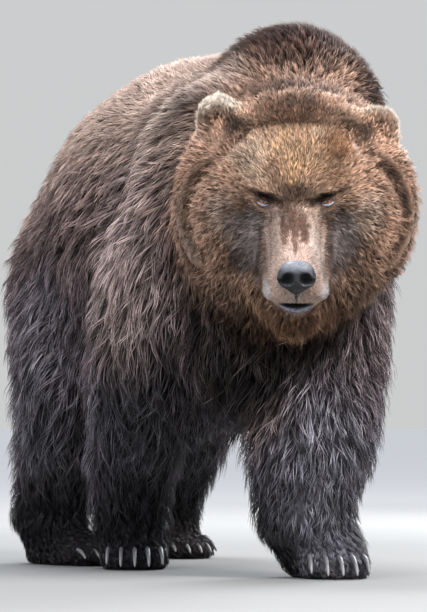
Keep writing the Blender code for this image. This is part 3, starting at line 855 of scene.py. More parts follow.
def lieOfCoat(places, normals, shares, owner):
    # each kind of coat adds its own direction, as strongly as it grows there
    kinds = dict(zip(kindNames, shares.T))
    local = toHead(places)
    x, _, z = local.T
    count = len(places)
    lie = np.zeros((count, 3))

    def add(kind, directions):
        nonlocal lie
        lie = lie + unit(np.broadcast_to(directions, (count, 3))) * kinds[kind][:, None]

    fromNose = local - (0, -0.23, -0.105)
    fromBrow = local - (0, -0.075, -0.012)
    fromBrow[:, 1] *= 0.4
    fromBrow[:, 2] -= 0.05 * ease(0.05, 0.14, -z)
    add("muzzle", (unit(fromNose) + 0.5 * unit(fromBrow)) @ headAxes.T)
    add("face", fromBrow @ headAxes.T)
    outwards = np.stack([x, np.full(count, 0.10), z + 0.01], axis=1)
    outwards[:, 2] -= 0.09 * ease(-0.02, 0.10, -z)
    add("cheek", outwards @ headAxes.T)
    add("beard", np.array((0, 0.25, -1.0)) @ headAxes.T + np.array((0, 0, -0.4)))
    add("ruff", unit(outwards) @ headAxes.T + np.array((0, 0.55, -0.25)))
    earPull = np.zeros((count, 3))
    for side in sides:
        root = np.array(middle(f"ear_{side}")) + headVector(0, 0.01, -0.05)
        mine = (belongs(owner, f"ear_{side}") > 0)[:, None]
        earPull += np.where(mine, places - root, 0)
    add("ear", earPull + np.array((0, 0, 1e-6)))
    steep = 1 - ease(0.2, 0.8, np.abs(normals[:, 2]))
    high = ease(0.95, 1.15, places[:, 2])
    front = ease(0.30, 0.52, -places[:, 1])
    downhill = np.stack([0.25 * np.sign(normals[:, 0]) * steep, 0.85 - 0.75 * front * (1 - high),
                         -0.10 - (0.85 - 0.55 * high) * steep - 0.8 * front * (1 - high)], axis=1)
    for kind in ("hump", "back", "flank", "belly"):
        add(kind, downhill)
    add("upperLeg", np.array((0, 0.30, -1.0)))
    add("lowerLeg", np.array((0, 0.10, -1.0)))
    toes = np.zeros((count, 3))
    for node in fleshNodes:
        if "paw" in node or "foot" in node:
            toes += np.outer(belongs(owner, node), footTurn(node) + np.array((0, 0, -0.75)))
    add("foot", toes + np.array((0, 0, -1e-6)))
    add("tail", np.array((0, 0.35, -1.0)))

    lie = alongSurface(lie, normals)
    turn = 0.22 * ripple(places, 0.11, 3) + 0.15 * ripple(places, 0.045, 4)
    turn *= 1 - 0.6 * kinds["muzzle"]
    lie = turned(lie, normals, turn)
    for _ in range(3):
        lie = alongSurface(evenOut(lie, links, 6), normals)
    return lie


places, normals, links = meshArrays(skinMesh)
lie = lieOfCoat(places, normals, shares, owner)
print("coat combed")


# markings and painted light: the colours of the coat, with painted shade, rim light and sheen, the same for
# skin and strands

tints = {
    "face": (0.275, 0.168, 0.112),
    "cheek": (0.740, 0.455, 0.320),
    "ruff": (0.300, 0.180, 0.130),
    "beard": (0.250, 0.135, 0.078),
    # the back faces up: pale partly in its own coat, partly as painted light from above
    "back": (0.620, 0.460, 0.385),
    "hump": (0.040, 0.018, 0.013),
    "flank": (0.215, 0.145, 0.135),
    "low": (0.165, 0.118, 0.124),
    "legs": (0.135, 0.116, 0.138),
    "feet": (0.034, 0.028, 0.031),
    # painted sheen: the sky's bluish highlight on wet hair
    "sheen": (0.200, 0.192, 0.222),
    "frosty": (0.560, 0.425, 0.390),
    "tan": (0.480, 0.345, 0.285),
    "pale": (0.500, 0.355, 0.255),
    # painted rim light and highlight, for outlines, rims and ridges
    "rim": (0.800, 0.655, 0.570),
    "gold": (0.300, 0.185, 0.098),
    "umber": (0.050, 0.029, 0.020),
    # painted shade in creases, folds and hollows
    "creaseShade": (0.024, 0.013, 0.009),
    "grey": (0.500, 0.420, 0.410),
    "fawn": (0.760, 0.585, 0.480),
    "neck": (0.088, 0.053, 0.040),
    "honey": (0.560, 0.360, 0.200),
    "hide": (0.270, 0.160, 0.105),
    "white": (0.640, 0.590, 0.570),
    "cream": (0.640, 0.560, 0.480),
    "rust": (0.085, 0.036, 0.017),
    "stain": (0.105, 0.056, 0.038),
    "fox": (0.140, 0.068, 0.034),
    "belly": (0.060, 0.030, 0.014),
    "black": (0.006, 0.005, 0.006),
}


def patch(tint, strength, at, size, **more):
    # edge: 0 soft to 1 hard; ragged: how torn the edge is; holes: gaps in it; square: 2 round, more is boxy
    return dict(tint=tint, strength=strength, at=at, size=size, **more)


# patches on the head, in its own axes
headPatches = [
    patch("gold", 0.60, (0, 0.070, 0.095), (0.110, 0.090, 0.075), ragged=1.0),
    patch("pale", 0.80, (-0.100, 0.080, 0.085), (0.060, 0.080, 0.060)),
    patch("fox", 0.90, (0.095, 0.095, 0.100), (0.060, 0.075, 0.052)),
    patch("rust", 0.97, (0, 0.172, 0.156), (0.140, 0.080, 0.055)),
    patch("umber", 0.60, (0, 0.178, 0.160), (0.105, 0.050, 0.040)),
    patch("pale", 0.55, (0.050, 0.108, 0.130), (0.024, 0.020, 0.018), ragged=0.8),
    patch("pale", 0.50, (-0.090, 0.030, 0.054), (0.052, 0.045, 0.020)),
    patch("fox", 0.40, (0.090, 0.030, 0.052), (0.052, 0.045, 0.026)),
    patch("neck", 0.92, (0, 0.285, 0.160), (0.200, 0.090, 0.080)),
    patch("rust", 0.60, (0.165, 0.160, 0.115), (0.045, 0.055, 0.042)),
    patch("fawn", 0.60, (0.170, 0.060, -0.045), (0.055, 0.070, 0.075), mirror=True),
    patch("grey", 0.90, (0.106, 0.012, -0.100), (0.060, 0.100, 0.100), mirror=True, ragged=0.9),
    patch("tan", 1.0, (0, -0.118, -0.060), (0.082, 0.118, 0.080), edge=0.85, square=5),
    patch("tan", 1.0, (0, -0.125, -0.130), (0.088, 0.100, 0.062), edge=0.80, square=4),
    patch("tan", 0.95, (0.048, -0.016, -0.034), (0.024, 0.055, 0.044), mirror=True, edge=0.5),
    patch("white", 0.92, (0.066, -0.130, -0.146), (0.024, 0.060, 0.032), mirror=True),
    patch("white", 1.0, (0.066, -0.146, -0.142), (0.020, 0.050, 0.030)),
    patch("white", 0.30, (0.046, -0.100, -0.075), (0.038, 0.100, 0.080)),
    patch("grey", 0.75, (0, -0.165, -0.143), (0.026, 0.045, 0.022)),
    patch("black", 0.80, (0, -0.175, -0.150), (0.0035, 0.030, 0.022)),
    patch("umber", 0.97, (0, 0.0, 0.022), (0.058, 0.045, 0.038)),
    # dark round each eye and black under the brow: the dark fur there, deepened as painted shade of socket
    # and brow
    patch("umber", 1.0, (0.066, 0.0, 0.010), (0.042, 0.045, 0.022), mirror=True),
    patch("black", 1.0, (0.070, 0.002, 0.020), (0.031, 0.030, 0.0095), mirror=True),
    patch("gold", 0.90, (-0.006, 0.010, 0.064), (0.013, 0.060, 0.030), ragged=0.7),
    patch("umber", 0.75, (-0.004, -0.040, -0.008), (0.038, 0.035, 0.022), edge=0.5, ragged=1.0),
    patch("stain", 0.97, (-0.002, -0.070, -0.020), (0.040, 0.052, 0.036), edge=0.75, ragged=1.2,
          holes=0.45),
    patch("stain", 0.90, (-0.027, -0.100, -0.036), (0.009, 0.036, 0.022), edge=0.5, ragged=1.0),
    patch("stain", 0.90, (-0.003, -0.118, -0.040), (0.009, 0.048, 0.022), edge=0.5, ragged=1.1),
    patch("stain", 0.85, (0.022, -0.098, -0.036), (0.009, 0.036, 0.022), edge=0.5, ragged=1.0),
    patch("rust", 0.50, (0, -0.085, -0.260), (0.085, 0.080, 0.050)),
    # golden tips of the beard, brightened as painted highlight where they catch the light
    patch("honey", 0.92, (0, -0.050, -0.320), (0.085, 0.065, 0.034), ragged=0.8),
    patch("tan", 0.85, (0, -0.142, -0.203), (0.046, 0.040, 0.013)),
    # black in the mouth's slit: painted shade inside the mouth
    patch("black", 1.0, (0, -0.160, -0.1730), (0.043, 0.045, 0.0085), edge=0.7),
    patch("black", 1.0, (0, -0.185, -0.095), (0.032, 0.022, 0.022), edge=0.8),
]

# patches on the body, in the frame's axes; mirror takes both sides alike
bodyPatches = [
    # the paler back: partly its own paler coat, partly painted light from above
    patch("back", 0.85, (0.18, -0.10, 1.10), (0.14, 0.22, 0.11), mirror=True),
    patch("back", 0.60, (0.125, -0.33, 1.155), (0.10, 0.14, 0.08), mirror=True),
    patch("hump", 0.85, (0.06, -0.40, 1.22), (0.15, 0.20, 0.10)),
    # pale shoulders: their paler tips, made paler as painted light from above
    patch("frosty", 0.95, (0.33, -0.25, 0.72), (0.14, 0.20, 0.36), mirror=True),
    # the sheen patches on the legs and hindquarters: painted sheen, the sky's bluish highlight on their wet
    # coat
    patch("sheen", 0.50, (0.31, 0.30, 0.55), (0.14, 0.22, 0.24), mirror=True),
    patch("sheen", 0.78, (0.04, -0.62, 0.24), (0.18, 0.17, 0.40)),
    patch("sheen", 0.55, (0.00, -0.60, 0.10), (0.15, 0.18, 0.11)),
    patch("frosty", 0.22, (-0.29, 0.34, 0.28), (0.13, 0.18, 0.18)),
    patch("sheen", 0.88, (-0.25, -0.10, 0.33), (0.14, 0.14, 0.25)),
    patch("sheen", 0.85, (-0.30, 0.33, 0.30), (0.12, 0.16, 0.18)),
    patch("black", 0.75, (-0.154, 0.02, 0.12), (0.15, 0.16, 0.13)),
    patch("black", 0.55, (-0.27, 0.40, 0.10), (0.15, 0.20, 0.12)),
]

# on the breast, between the front legs: painted shadow under the head, laid over the chest's dark hair
breastShadow = patch("black", 0.84, (-0.05, -0.46, 0.50), (0.28, 0.22, 0.26))

# how pale the tips are, for each kind of coat; the flank's share fades with its height
paleShares = {"back": 0.45, "hump": 0.08, "ruff": 0.22, "cheek": 0.42, "face": 0.25, "ear": 0.30,
              "beard": 0.30, "muzzle": 0.12}

# each patch and stripe has a ragged edge of its own, from a seed counted on from these
edgeSeeds = {"head": 40, "body": 20, "breast": 19, "stripe": 70}

# stripes of colour along a fold or ridge: tint, strength, width and the line
muzzleValley = [(0.070, 0.004, -0.040), (0.080, 0.009, -0.061), (0.083, -0.035, -0.095),
                (0.084, -0.020, -0.130), (0.088, 0.010, -0.163)]
cheekEdge = [(0.135, 0.122, 0.106), (0.160, 0.108, 0.078), (0.186, 0.104, 0.045), (0.206, 0.102, 0.010)]


def stripe(tint, strength, width, points, head=True, mirror=False):
    return dict(tint=tint, strength=strength, width=width, points=points, head=head, mirror=mirror)


linePaints = [
    # painted shade in the fold round the face
    stripe("creaseShade", 1.0, 0.036, faceFold[:5], mirror=True),
    stripe("creaseShade", 0.92, 0.028, faceFold[4:], mirror=True),
    # painted highlight along the fold's inner rim, and painted rim light along the ruff's outlines
    stripe("rim", 0.90, 0.016, shifted(faceFold[1:9], (0, -0.008, 0), 0.915), mirror=True),
    stripe("rim", 0.92, 0.026, rimRight),
    stripe("rim", 0.70, 0.020, rimLeft),
    # painted shade in the valley beside the muzzle and under the crown's ledge
    stripe("creaseShade", 0.75, 0.024, muzzleValley, mirror=True),
    stripe("creaseShade", 0.45, 0.014, crownEdge, mirror=True),
    # painted highlight along the edge of the cheek
    stripe("white", 0.80, 0.013, cheekEdge),
    # painted rim light along the ridge of the right shoulder, and painted shade in the groove behind it
    stripe("rim", 0.80, 0.055, shoulderRidge[:5], head=False),
    stripe("creaseShade", 0.45, 0.055, shifted(shoulderRidge[2:], (0.0, 0.065, 0.0)), head=False),
]


def patchShare(local, area, seed):
    # how much of the patch's tint lies at each place
    spread = (mirrored(local, area) - area["at"]) / area["size"]
    away = np.linalg.norm(spread, ord=area.get("square", 2), axis=1)
    away += area.get("ragged", 0.25) * 0.35 * ripple(local * (1.0, 0.45, 0.8), 0.010, seed)
    edge = area.get("edge", 0.1)
    gaps = 1 - area.get("holes", 0) * ease(0.0, 0.5, ripple(local * (1.0, 0.5, 0.8), 0.0075, seed + 5))
    return area["strength"] * gaps * (1 - ease(0.25 + 0.6 * edge, 1.05, away))


def markingsAndPaintedLight(places, normals, shares):
    # the tint at each place, with painted shade, rim light and sheen laid in, and how pale a strand's tip is
    # there, painted sheen included
    kinds = dict(zip(kindNames, shares.T))
    tint = {name: np.array(value) for name, value in tints.items()}
    places = coatFace(places, normals, shares)
    local = toHead(places)
    height = places[:, 2] + 0.05 * ripple(places, 0.12, 21)
    low = 1 - ease(0.42, 0.92, height)
    trunkTint = mixRows(tint["flank"], tint["low"], low)
    upper = mixRows(tint["low"], tint["legs"], 1 - ease(0.25, 0.55, height))
    lower = mixRows(tint["legs"], tint["feet"], 1 - ease(0.10, 0.25, height))
    humpTint = mixRows(tint["hump"], tint["back"], 0.5 * ease(-0.34, -0.06, places[:, 1]))
    made = {
        "muzzle": tint["face"],
        "ear": tint["hide"],
        "hump": humpTint,
        "flank": trunkTint,
        "upperLeg": upper,
        "lowerLeg": lower,
        "foot": tint["feet"],
        "tail": trunkTint,
    }
    rows = np.zeros(places.shape)
    for kind in kindNames:
        rows = rows + (made[kind] if kind in made else tint[kind]) * kinds[kind][:, None]
    near = ease(0.5, 0.36, np.linalg.norm(local, axis=1))
    for seed, area in enumerate(headPatches, edgeSeeds["head"]):
        rows = mixRows(rows, tint[area["tint"]], patchShare(local, area, seed) * near)
    leg = kinds["upperLeg"] + kinds["lowerLeg"] + kinds["foot"]
    for seed, area in enumerate(bodyPatches, edgeSeeds["body"]):
        rows = mixRows(rows, tint[area["tint"]], patchShare(places, area, seed) * (1 - near))
    # the painted shadow on the breast, kept off the legs
    breast = patchShare(places, breastShadow, edgeSeeds["breast"]) * (1 - leg)
    rows = mixRows(rows, tint[breastShadow["tint"]], breast)
    for seed, line in enumerate(linePaints, edgeSeeds["stripe"]):
        wobble = 0.25 * line["width"] * ripple(places, 0.02, seed)
        share = lineShare(places + wobble[:, None] * normals, line, line["width"])
        rows = mixRows(rows, tint[line["tint"]], line["strength"] * share)
    for side in sides:
        foot, crown = (np.array(corner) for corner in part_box(f"ear_{side}"))
        outwards = 1 if side == "left" else -1
        spot = local - toHead(((foot + crown) / 2)[None])[0]
        # cream on the ears' tops and backs: their paler fur, made paler as painted rim light
        rise = (places[:, 2] - foot[2]) / (crown[2] - foot[2])
        top = ease(0.55, 1.0, rise + 0.10 * ripple(places, 0.012, 61))
        facing = normals @ headVector(0, -1, 0)
        outer = ease(0.3, -0.5, facing) + 0.5 * ease(0.012, 0.040, spot[:, 0] * outwards)
        creamy = np.clip(np.maximum(0.85 * top, 0.6 * outer), 0, 0.9)
        rows = mixRows(rows, tint["cream"], kinds["ear"] * creamy)
        # painted shade in the hollow of each ear
        hollow = np.linalg.norm((spot - (-0.036 * outwards, -0.03, -0.012)) / (1.0, 1.6, 1.3), axis=1)
        rows = mixRows(rows, tint["creaseShade"], ease(0.028, 0.012, hollow) * np.minimum(1, kinds["ear"] + 0.8))
    # painted shade: the coat is darkened where it faces down, less on the muzzle and beard
    under = ease(0.0, 0.75, -normals[:, 2]) * (1 - kinds["muzzle"]) * (1 - 0.8 * kinds["beard"])
    rows = rows * (1 - 0.65 * under)[:, None]
    frostAndSheen = sum(share * kinds[kind] for kind, share in paleShares.items())
    frostAndSheen = frostAndSheen + 0.30 * kinds["flank"] * (1 - low)
    frostAndSheen *= 0.15 + 0.85 * ease(0.06, 0.30, rows.mean(axis=1))
    # painted highlight: paler tips along the pale rims and edges of the head
    for line in linePaints:
        if line["tint"] in ("rim", "white") and line["head"]:
            frostAndSheen += 0.30 * line["strength"] * lineShare(places, line, line["width"])
    # paler tips on the legs, belly and low flank, most where they face forwards: painted sheen
    sheen = 0.30 + 0.45 * ease(0.0, 0.8, -normals[:, 1]) * (1 + ripple(places, 0.09, 33)) / 2
    onLegs = kinds["upperLeg"] + kinds["lowerLeg"]
    frostAndSheen += sheen * (onLegs + 0.6 * kinds["belly"] + 0.5 * kinds["flank"] * low)
    rows = rows * (1 + 0.22 * kinds["muzzle"] * ripple(places * (1, 1, 0.5), 0.0055, 35))[:, None]
    patchy = 1 + 0.16 * ripple(places, 0.05, 31) + 0.10 * ripple(places, 0.018, 32)
    return np.clip(rows * patchy[:, None], 0, 1), np.clip(frostAndSheen, 0, 1)


skinTint = markingsAndPaintedLight(places, normals, shares)[0]
print("markings laid")


# one strand is a thin closed three-sided blade from its root under the skin to its tip

coatBuild = {
    "triangles": 1_580_000,  # in the whole coat, with the strands that bare places then lose
    "straight": 0.0245,  # strands shorter than this are straight
    "bentOnce": 0.064,  # and shorter than this bend once
    "root": 0.002,  # how far a root is sunk in the skin
    "lockJoints": 3,  # steps in which a lock follows the skin
    "swing": 0.16,  # how far a lock turns off the lie of the coat, in radians
    "wander": 0.30,  # and how far it goes on turning at each step
    "aside": 0.10,  # how far a strand leaves its lock
    "reach": (0.72, 1.08),  # how far along its lock a strand goes
    "rise": (0.80, 1.12),  # how high it stands
    "widths": (0.75, 1.2),
    "toneShares": (0.62, 0.5, 0.7),  # of the lock, of the strand, of broad patches
    "brightest": 0.86,  # no strand's tint goes past this, and it keeps its hue
    "offFloor": 0.0008,  # no strand hangs lower
    "bakePatch": 0.003,  # side of a strand's square on the bake map
    "seed": 11,
    "widthSeed": 5,
    "paleTip": (0.72, 0.565, 0.470),
    "skyReflectTip": (0.34, 0.35, 0.41),  # of wet strands: painted bluish reflection of the sky
}

# by the number of joints below the tip: the share of the width at each, and the faces of one strand
bladeShape = {1: (1.25,), 2: (0.95, 0.78), 3: (0.80, 1.0, 0.66)}
bladeCost = {1: 4, 2: 10, 3: 16}


def skinTriangles(mesh):
    mesh.calc_loop_triangles()
    corners = np.empty(len(mesh.loop_triangles) * 3, np.int32)
    mesh.loop_triangles.foreach_get("vertices", corners)
    loops = np.empty(len(mesh.loop_triangles) * 3, np.int32)
    mesh.loop_triangles.foreach_get("loops", loops)
    return corners.reshape(-1, 3), loops.reshape(-1, 3)


def unwrapSkin():
    bpy.context.view_layer.objects.active = skin
    skin.select_set(True)
    bpy.ops.object.mode_set(mode="EDIT")
    bpy.ops.mesh.select_all(action="SELECT")
    bpy.ops.uv.smart_project(angle_limit=math.radians(66), island_margin=0.002)
    bpy.ops.object.mode_set(mode="OBJECT")
    skin.select_set(False)
    skinMesh.uv_layers[0].name = "OFBake"
    spots = np.empty(len(skinMesh.loops) * 2, np.float32)
    skinMesh.uv_layers[0].uv.foreach_get("vector", spots)
    return spots.reshape(-1, 2)


def jointsFor(length):
    return 1 + (length > coatBuild["straight"]).astype(int) + (length > coatBuild["bentOnce"])


def plantRoots(random):
    # roots scattered over the skin, as close as each kind of coat wants
    corners, loops = skinTriangles(skinMesh)
    a, b, c = (places[corners[:, side]] for side in range(3))
    area = np.linalg.norm(np.cross(b - a, c - a), axis=1) / 2
    close = coatValue("close", shares)
    length = coatValue("length", shares)
    wanted = area * close[corners].mean(axis=1)
    joints = jointsFor(length[corners].mean(axis=1))
    cost = np.choose(joints - 1, list(bladeCost.values()))
    scale = coatBuild["triangles"] / np.sum(wanted * cost)
    total = np.cumsum(wanted * scale)
    count = int(total[-1])
    steps = np.sort((np.arange(count) + random.random(count)) * total[-1] / count)
    chosen = np.minimum(np.searchsorted(total, steps), len(total) - 1)
    first, second = random.random((2, count))
    beyond = first + second > 1  # outside the triangle, so turned back into it
    first = np.where(beyond, 1 - first, first)
    second = np.where(beyond, 1 - second, second)
    weights = np.stack([1 - first - second, first, second], axis=1)
    print("close scale", round(float(scale), 3), "strands", count)
    return corners[chosen], loops[chosen], weights


def atRoots(values, corners, weights):
    return np.einsum("rk,rk...->r...", weights, values[corners])


def traceLocks(tree, starts, directions, normals, lengths, turns):
    # the way each lock lies: it follows the skin and the lie of the coat step by step
    paths = [starts]
    ups = [normals]
    spot = starts
    heading = directions
    joints = turns.shape[1]
    for step in range(joints):
        heading = turned(heading, ups[-1], turns[:, step])
        ahead = spot + heading * (lengths / joints)[:, None]
        found = [tree.find_nearest(place) for place in ahead.tolist()]
        spot = np.array([hit[0] for hit in found])
        up = np.array([hit[1] for hit in found])
        heading = alongSurface(heading, up)
        paths.append(spot)
        ups.append(up)
    return np.stack(paths, axis=1), np.stack(ups, axis=1)


def growCoat():
    random = np.random.default_rng(coatBuild["seed"])
    spots = unwrapSkin()
    print("skin unwrapped")
    corners, loops, weights = plantRoots(random)
    count = len(corners)
    root = atRoots(places, corners, weights)
    normal = unit(atRoots(normals, corners, weights))
    rootShares = atRoots(shares, corners, weights)
    value = {name: coatValue(name, rootShares) for name in coatColumns}
    shorter = np.where(rootShares[:, kindNames.index("ear")] > 0.5, 1, furScale(root, normal, rootShares))
    value["depth"] *= shorter
    value["length"] *= shorter**0.7
    rootLie = alongSurface(atRoots(lie, corners, weights), normal)
    seen = root + rootLie * (0.5 * value["length"])[:, None]  # a strand shows its colour here
    rootTint, rootFrostAndSheen = markingsAndPaintedLight(seen, normal, rootShares)
    bake = np.einsum("rk,rkc->rc", weights, spots[loops])
    keep = growsHere(root)

    # locks: one root in many leads, and the others near it gather to its tip
    inLock = np.maximum(value["close"] * 0.35 * value["lock"] ** 2, 1.5)  # strands
    leads = np.flatnonzero(random.random(count) < 1 / inLock)
    tree = KDTree(len(leads))
    for number, place in enumerate(root[leads].tolist()):
        tree.insert(place, number)
    tree.balance()
    lock = np.array([tree.find(place)[1] for place in root.tolist()])
    ragged = value["ragged"][leads]
    swing = random.normal(0, coatBuild["swing"], len(leads)) * (0.5 + ragged)
    heading = turned(rootLie[leads], normal[leads], swing)
    lengths = value["length"][leads] * (1 + 0.35 * ragged * random.normal(0, 1, len(leads)).clip(-1.6, 1.6))
    joints = coatBuild["lockJoints"]
    surface = BVHTree.FromPolygons(places.tolist(), [tuple(face.vertices) for face in skinMesh.polygons])
    turns = random.normal(0, coatBuild["wander"], (len(leads), joints)).clip(-0.6, 0.6) * ragged[:, None]
    paths, ups = traceLocks(surface, root[leads], heading, normal[leads], lengths, turns)
    stand = value["lift"][leads] * (1 + 0.5 * ragged * random.normal(0, 1, len(leads)).clip(-1.5, 1.8))
    lockTone = random.normal(0, 1, len(leads)).clip(-2, 2)
    print("locks:", len(leads))

    bends = jointsFor(value["length"])
    reach = random.uniform(*coatBuild["reach"], count)
    ofLock, ofStrand, ofPatch = coatBuild["toneShares"]
    tone = ofLock * lockTone[lock] + ofStrand * random.normal(0, 1, count).clip(-2, 2)
    broad = tone + ofPatch * ripple(root, 0.034, 51)
    rootTint = rootTint * np.exp((0.50 * value["contrast"] * broad).clip(-1.4, 1.1))[:, None]
    rootTint *= np.minimum(1, coatBuild["brightest"] / rootTint.max(axis=1))[:, None]
    aside = random.normal(0, coatBuild["aside"], (count, 1)) * np.cross(normal, rootLie)
    high = value["depth"] * stand[lock] * random.uniform(*coatBuild["rise"], count)
    hang = value["droop"] * value["length"]
    data = {"root": root, "tint": rootTint, "frostAndSheen": rootFrostAndSheen, "tone": tone, "gloss": value["gloss"],
            "bake": bake, "shares": rootShares, "owner": owner[corners[:, 0]]}

    def pointAt(share, rows):
        # share: how far along the strand, 0 root to 1 tip
        along = np.clip(share * reach[rows], 0, 1.08) * joints
        before = np.minimum(along.astype(int), joints - 1)
        part = (along - before)[:, None]
        path = paths[lock[rows]]
        lift = ups[lock[rows]]
        number = np.arange(len(rows))
        spot = path[number, before] * (1 - part) + path[number, before + 1] * part
        up = unit(lift[number, before] * (1 - part) + lift[number, before + 1] * part)
        own = root[rows] - path[:, 0]
        gathered = 1 - value["bunch"][rows] * share**1.2
        height = high[rows] * (1 - (1 - share) ** 1.7) - coatBuild["root"] * (1 - share) ** 4
        spot = spot + own * gathered[:, None] + up * height[:, None]
        spot = spot + aside[rows] * (value["length"][rows] * share**2)[:, None]
        spot[:, 2] -= hang[rows] * share**2
        spot[:, 2] = np.maximum(spot[:, 2], coatBuild["offFloor"])
        return spot, up

    return data, value, bends, keep, pointAt


bareSpots = {
    "floor": 0.006,  # soles, up to this height
    "eye": 0.0165,
    "claw": 0.009,
    "zones": [
        {"at": noseMiddle, "size": (0.040, 0.032, 0.031)},
        {"at": (0, -0.160, -0.1740), "size": (0.041, 0.060, 0.0125)},  # the mouth
    ],
}


def growsHere(root):
    # no strands on the soles, the eyes, the nose, the claws or inside the mouth
    local = toHead(root)
    keep = (root[:, 2] > bareSpots["floor"]) & (eyeDistance(local) > bareSpots["eye"])
    for zone in bareSpots["zones"]:
        keep &= insideZone(local, zone) > 1
    for claw in claws:
        keep &= np.linalg.norm(root - np.array(middle(claw)), axis=1) > bareSpots["claw"]
    return keep


def bladeFaces(joints):
    faces = [(0, 2, 1)]
    for ring in range(joints - 1):
        for corner in range(3):
            a, b = 3 * ring + corner, 3 * ring + (corner + 1) % 3
            faces += [(a, b, b + 3), (a, b + 3, a + 3)]
    last = 3 * (joints - 1)
    faces += [(last + corner, last + (corner + 1) % 3, 3 * joints) for corner in range(3)]
    return np.array(faces)


def weaveStrands(data, value, pointAt, rows, joints):
    # the points and faces of all strands in these rows
    spots, ups = zip(*(pointAt(step / joints, rows) for step in range(joints + 1)))
    random = np.random.default_rng(coatBuild["widthSeed"])
    width = value["width"][rows] * random.uniform(*coatBuild["widths"], len(rows))
    rings = []
    for step in range(joints):
        ahead = unit(spots[step + 1] - spots[max(step - 1, 0)])
        across = unit(np.cross(ahead, ups[step]))
        above = np.cross(across, ahead)
        half = (width * bladeShape[joints][step] / 2)[:, None]
        rings += [spots[step] - across * half, spots[step] + across * half, spots[step] + above * half * 0.9]
    rings.append(spots[joints])
    points = np.stack(rings, axis=1)
    size = points.shape[1]
    faces = bladeFaces(joints)[None] + (np.arange(len(rows)) * size)[:, None, None]
    along = np.repeat(np.arange(joints) / joints, 3).tolist() + [1.0]
    marks = np.empty((len(rows), size, 3))
    marks[..., 0] = along
    marks[..., 1] = data["tone"][rows][:, None] * 0.25 + 0.5
    marks[..., 2] = data["gloss"][rows][:, None]
    tint = np.concatenate([data["tint"][rows], data["frostAndSheen"][rows][:, None]], axis=1)
    tint = np.repeat(tint[:, None], size, axis=1)
    bake = data["bake"][rows][:, None] + patchOffsets(joints)[None]
    return [rows.reshape(-1, rows.shape[-1]) for rows in (points, faces, marks, tint, bake)]


def patchOffsets(joints):
    # a small square of the bake map for each strand: along it, and round it
    size = coatBuild["bakePatch"]
    spots = []
    for ring in range(joints):
        spots += [(size * (corner / 2 - 0.5), size * (ring / joints - 0.5)) for corner in range(3)]
    return np.array(spots + [(0.0, size / 2)])


def buildCoat(name, blocks, material):
    # one piece from the strands of each number of joints
    starts = np.cumsum([0] + [len(block[0]) for block in blocks])
    points, faces, marks, tint, bake = zip(*blocks)
    faces = [part + start for part, start in zip(faces, starts)]
    points, faces, marks, tint, bake = map(np.concatenate, (points, faces, marks, tint, bake))
    mesh = bpy.data.meshes.new(name)
    mesh.vertices.add(len(points))
    mesh.vertices.foreach_set("co", points.astype(np.float32).ravel())
    mesh.loops.add(faces.size)
    mesh.loops.foreach_set("vertex_index", faces.astype(np.int32).ravel())
    mesh.polygons.add(len(faces))
    mesh.polygons.foreach_set("loop_start", np.arange(0, faces.size, 3, dtype=np.int32))
    setMarks(mesh, "marks", "FLOAT_VECTOR", marks)
    setMarks(mesh, "tint", "FLOAT_COLOR", tint)
    layer = mesh.uv_layers.new(name="OFBake")
    layer.uv.foreach_set("vector", np.clip(bake[faces.ravel()], 0, 1).astype(np.float32).ravel())
    mesh.update(calc_edges=True)
    mesh.materials.append(material)
    piece = addPiece(name, mesh)
    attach(piece, "root")
    print(name, len(faces))
    return piece


# coat and skin materials: both read the markings and painted light laid on their own points

def coatMaterial():
    material, wire, shader = finish("coat", {"Specular IOR Level": 0.12, "Coat Roughness": 0.26})
    tint = wire.attribute("tint")
    frostAndSheen = wire.attribute("tint", 3)
    marks = wire.attribute("marks", 1)
    along, tone, gloss = (marks.part(axis) for axis in "XYZ")
    # darker towards the root: the hair's darker base, and painted shade deep in the coat
    deep = 0.20 + 0.90 * along.between(0.05, 0.85)
    shade = wire.scaled(tint, deep)
    # pale tips, carrying painted highlights and sheen; wet strands' tips take a painted bluish reflection of
    # the sky
    paleTip = frostAndSheen * (along ** 3.0) * tone.between(0.25, 0.9)
    wet = gloss.between(0.35, 0.62)
    tip = wire.blend(colour(*coatBuild["paleTip"]), colour(*coatBuild["skyReflectTip"]), wet)
    connect(wire, shader, Base_Color=wire.blend(shade, tip, paleTip), Roughness=0.70 - 0.38 * gloss,
            Coat_Weight=0.75 * wet * tone)
    return material


def skinMaterial():
    material, wire, shader = finish("skin", {"Specular IOR Level": 0.25})
    place = wire.objectPlace()
    tint = wire.attribute("tint")
    bare = wire.attribute("tint", 3)
    fine = wire.noise(wire.stretch(place, (1.0, 0.35, 1.0)), 620.0, 4.0, 0.6)
    broad = wire.noise(place, 150.0, 3.0)
    amount = (0.45 + 0.36 * bare) * (0.24 + 0.60 * fine + 0.90 * broad)
    shade = wire.scaled(tint, amount)
    bump = wire.bump(fine + 0.4 * broad, 0.55, 0.0015)
    connect(wire, shader, Base_Color=shade, Roughness=0.78 - 0.1 * bare, Normal=bump)
    return material


def layOnSkin():
    bare = shares[:, kindNames.index("muzzle")]
    setMarks(skinMesh, "tint", "FLOAT_COLOR", np.concatenate([skinTint, bare[:, None]], axis=1))
    skinMesh.materials.append(skinMaterial())
    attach(skin, "root")
    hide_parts(*fleshNodes)


# the piece each kind of coat goes into, left and right; the legs have pieces of their own
headPieces = {"muzzle": "coat_face_", "face": "coat_face_", "ear": "coat_face_", "cheek": "coat_cheek_",
              "beard": "coat_cheek_", "ruff": "coat_ruff_"}
bodyPieces = {"back": "coat_back_", "hump": "coat_back_"}
bodyMiddle = 0.02  # the trunk bends, so its two sides part here


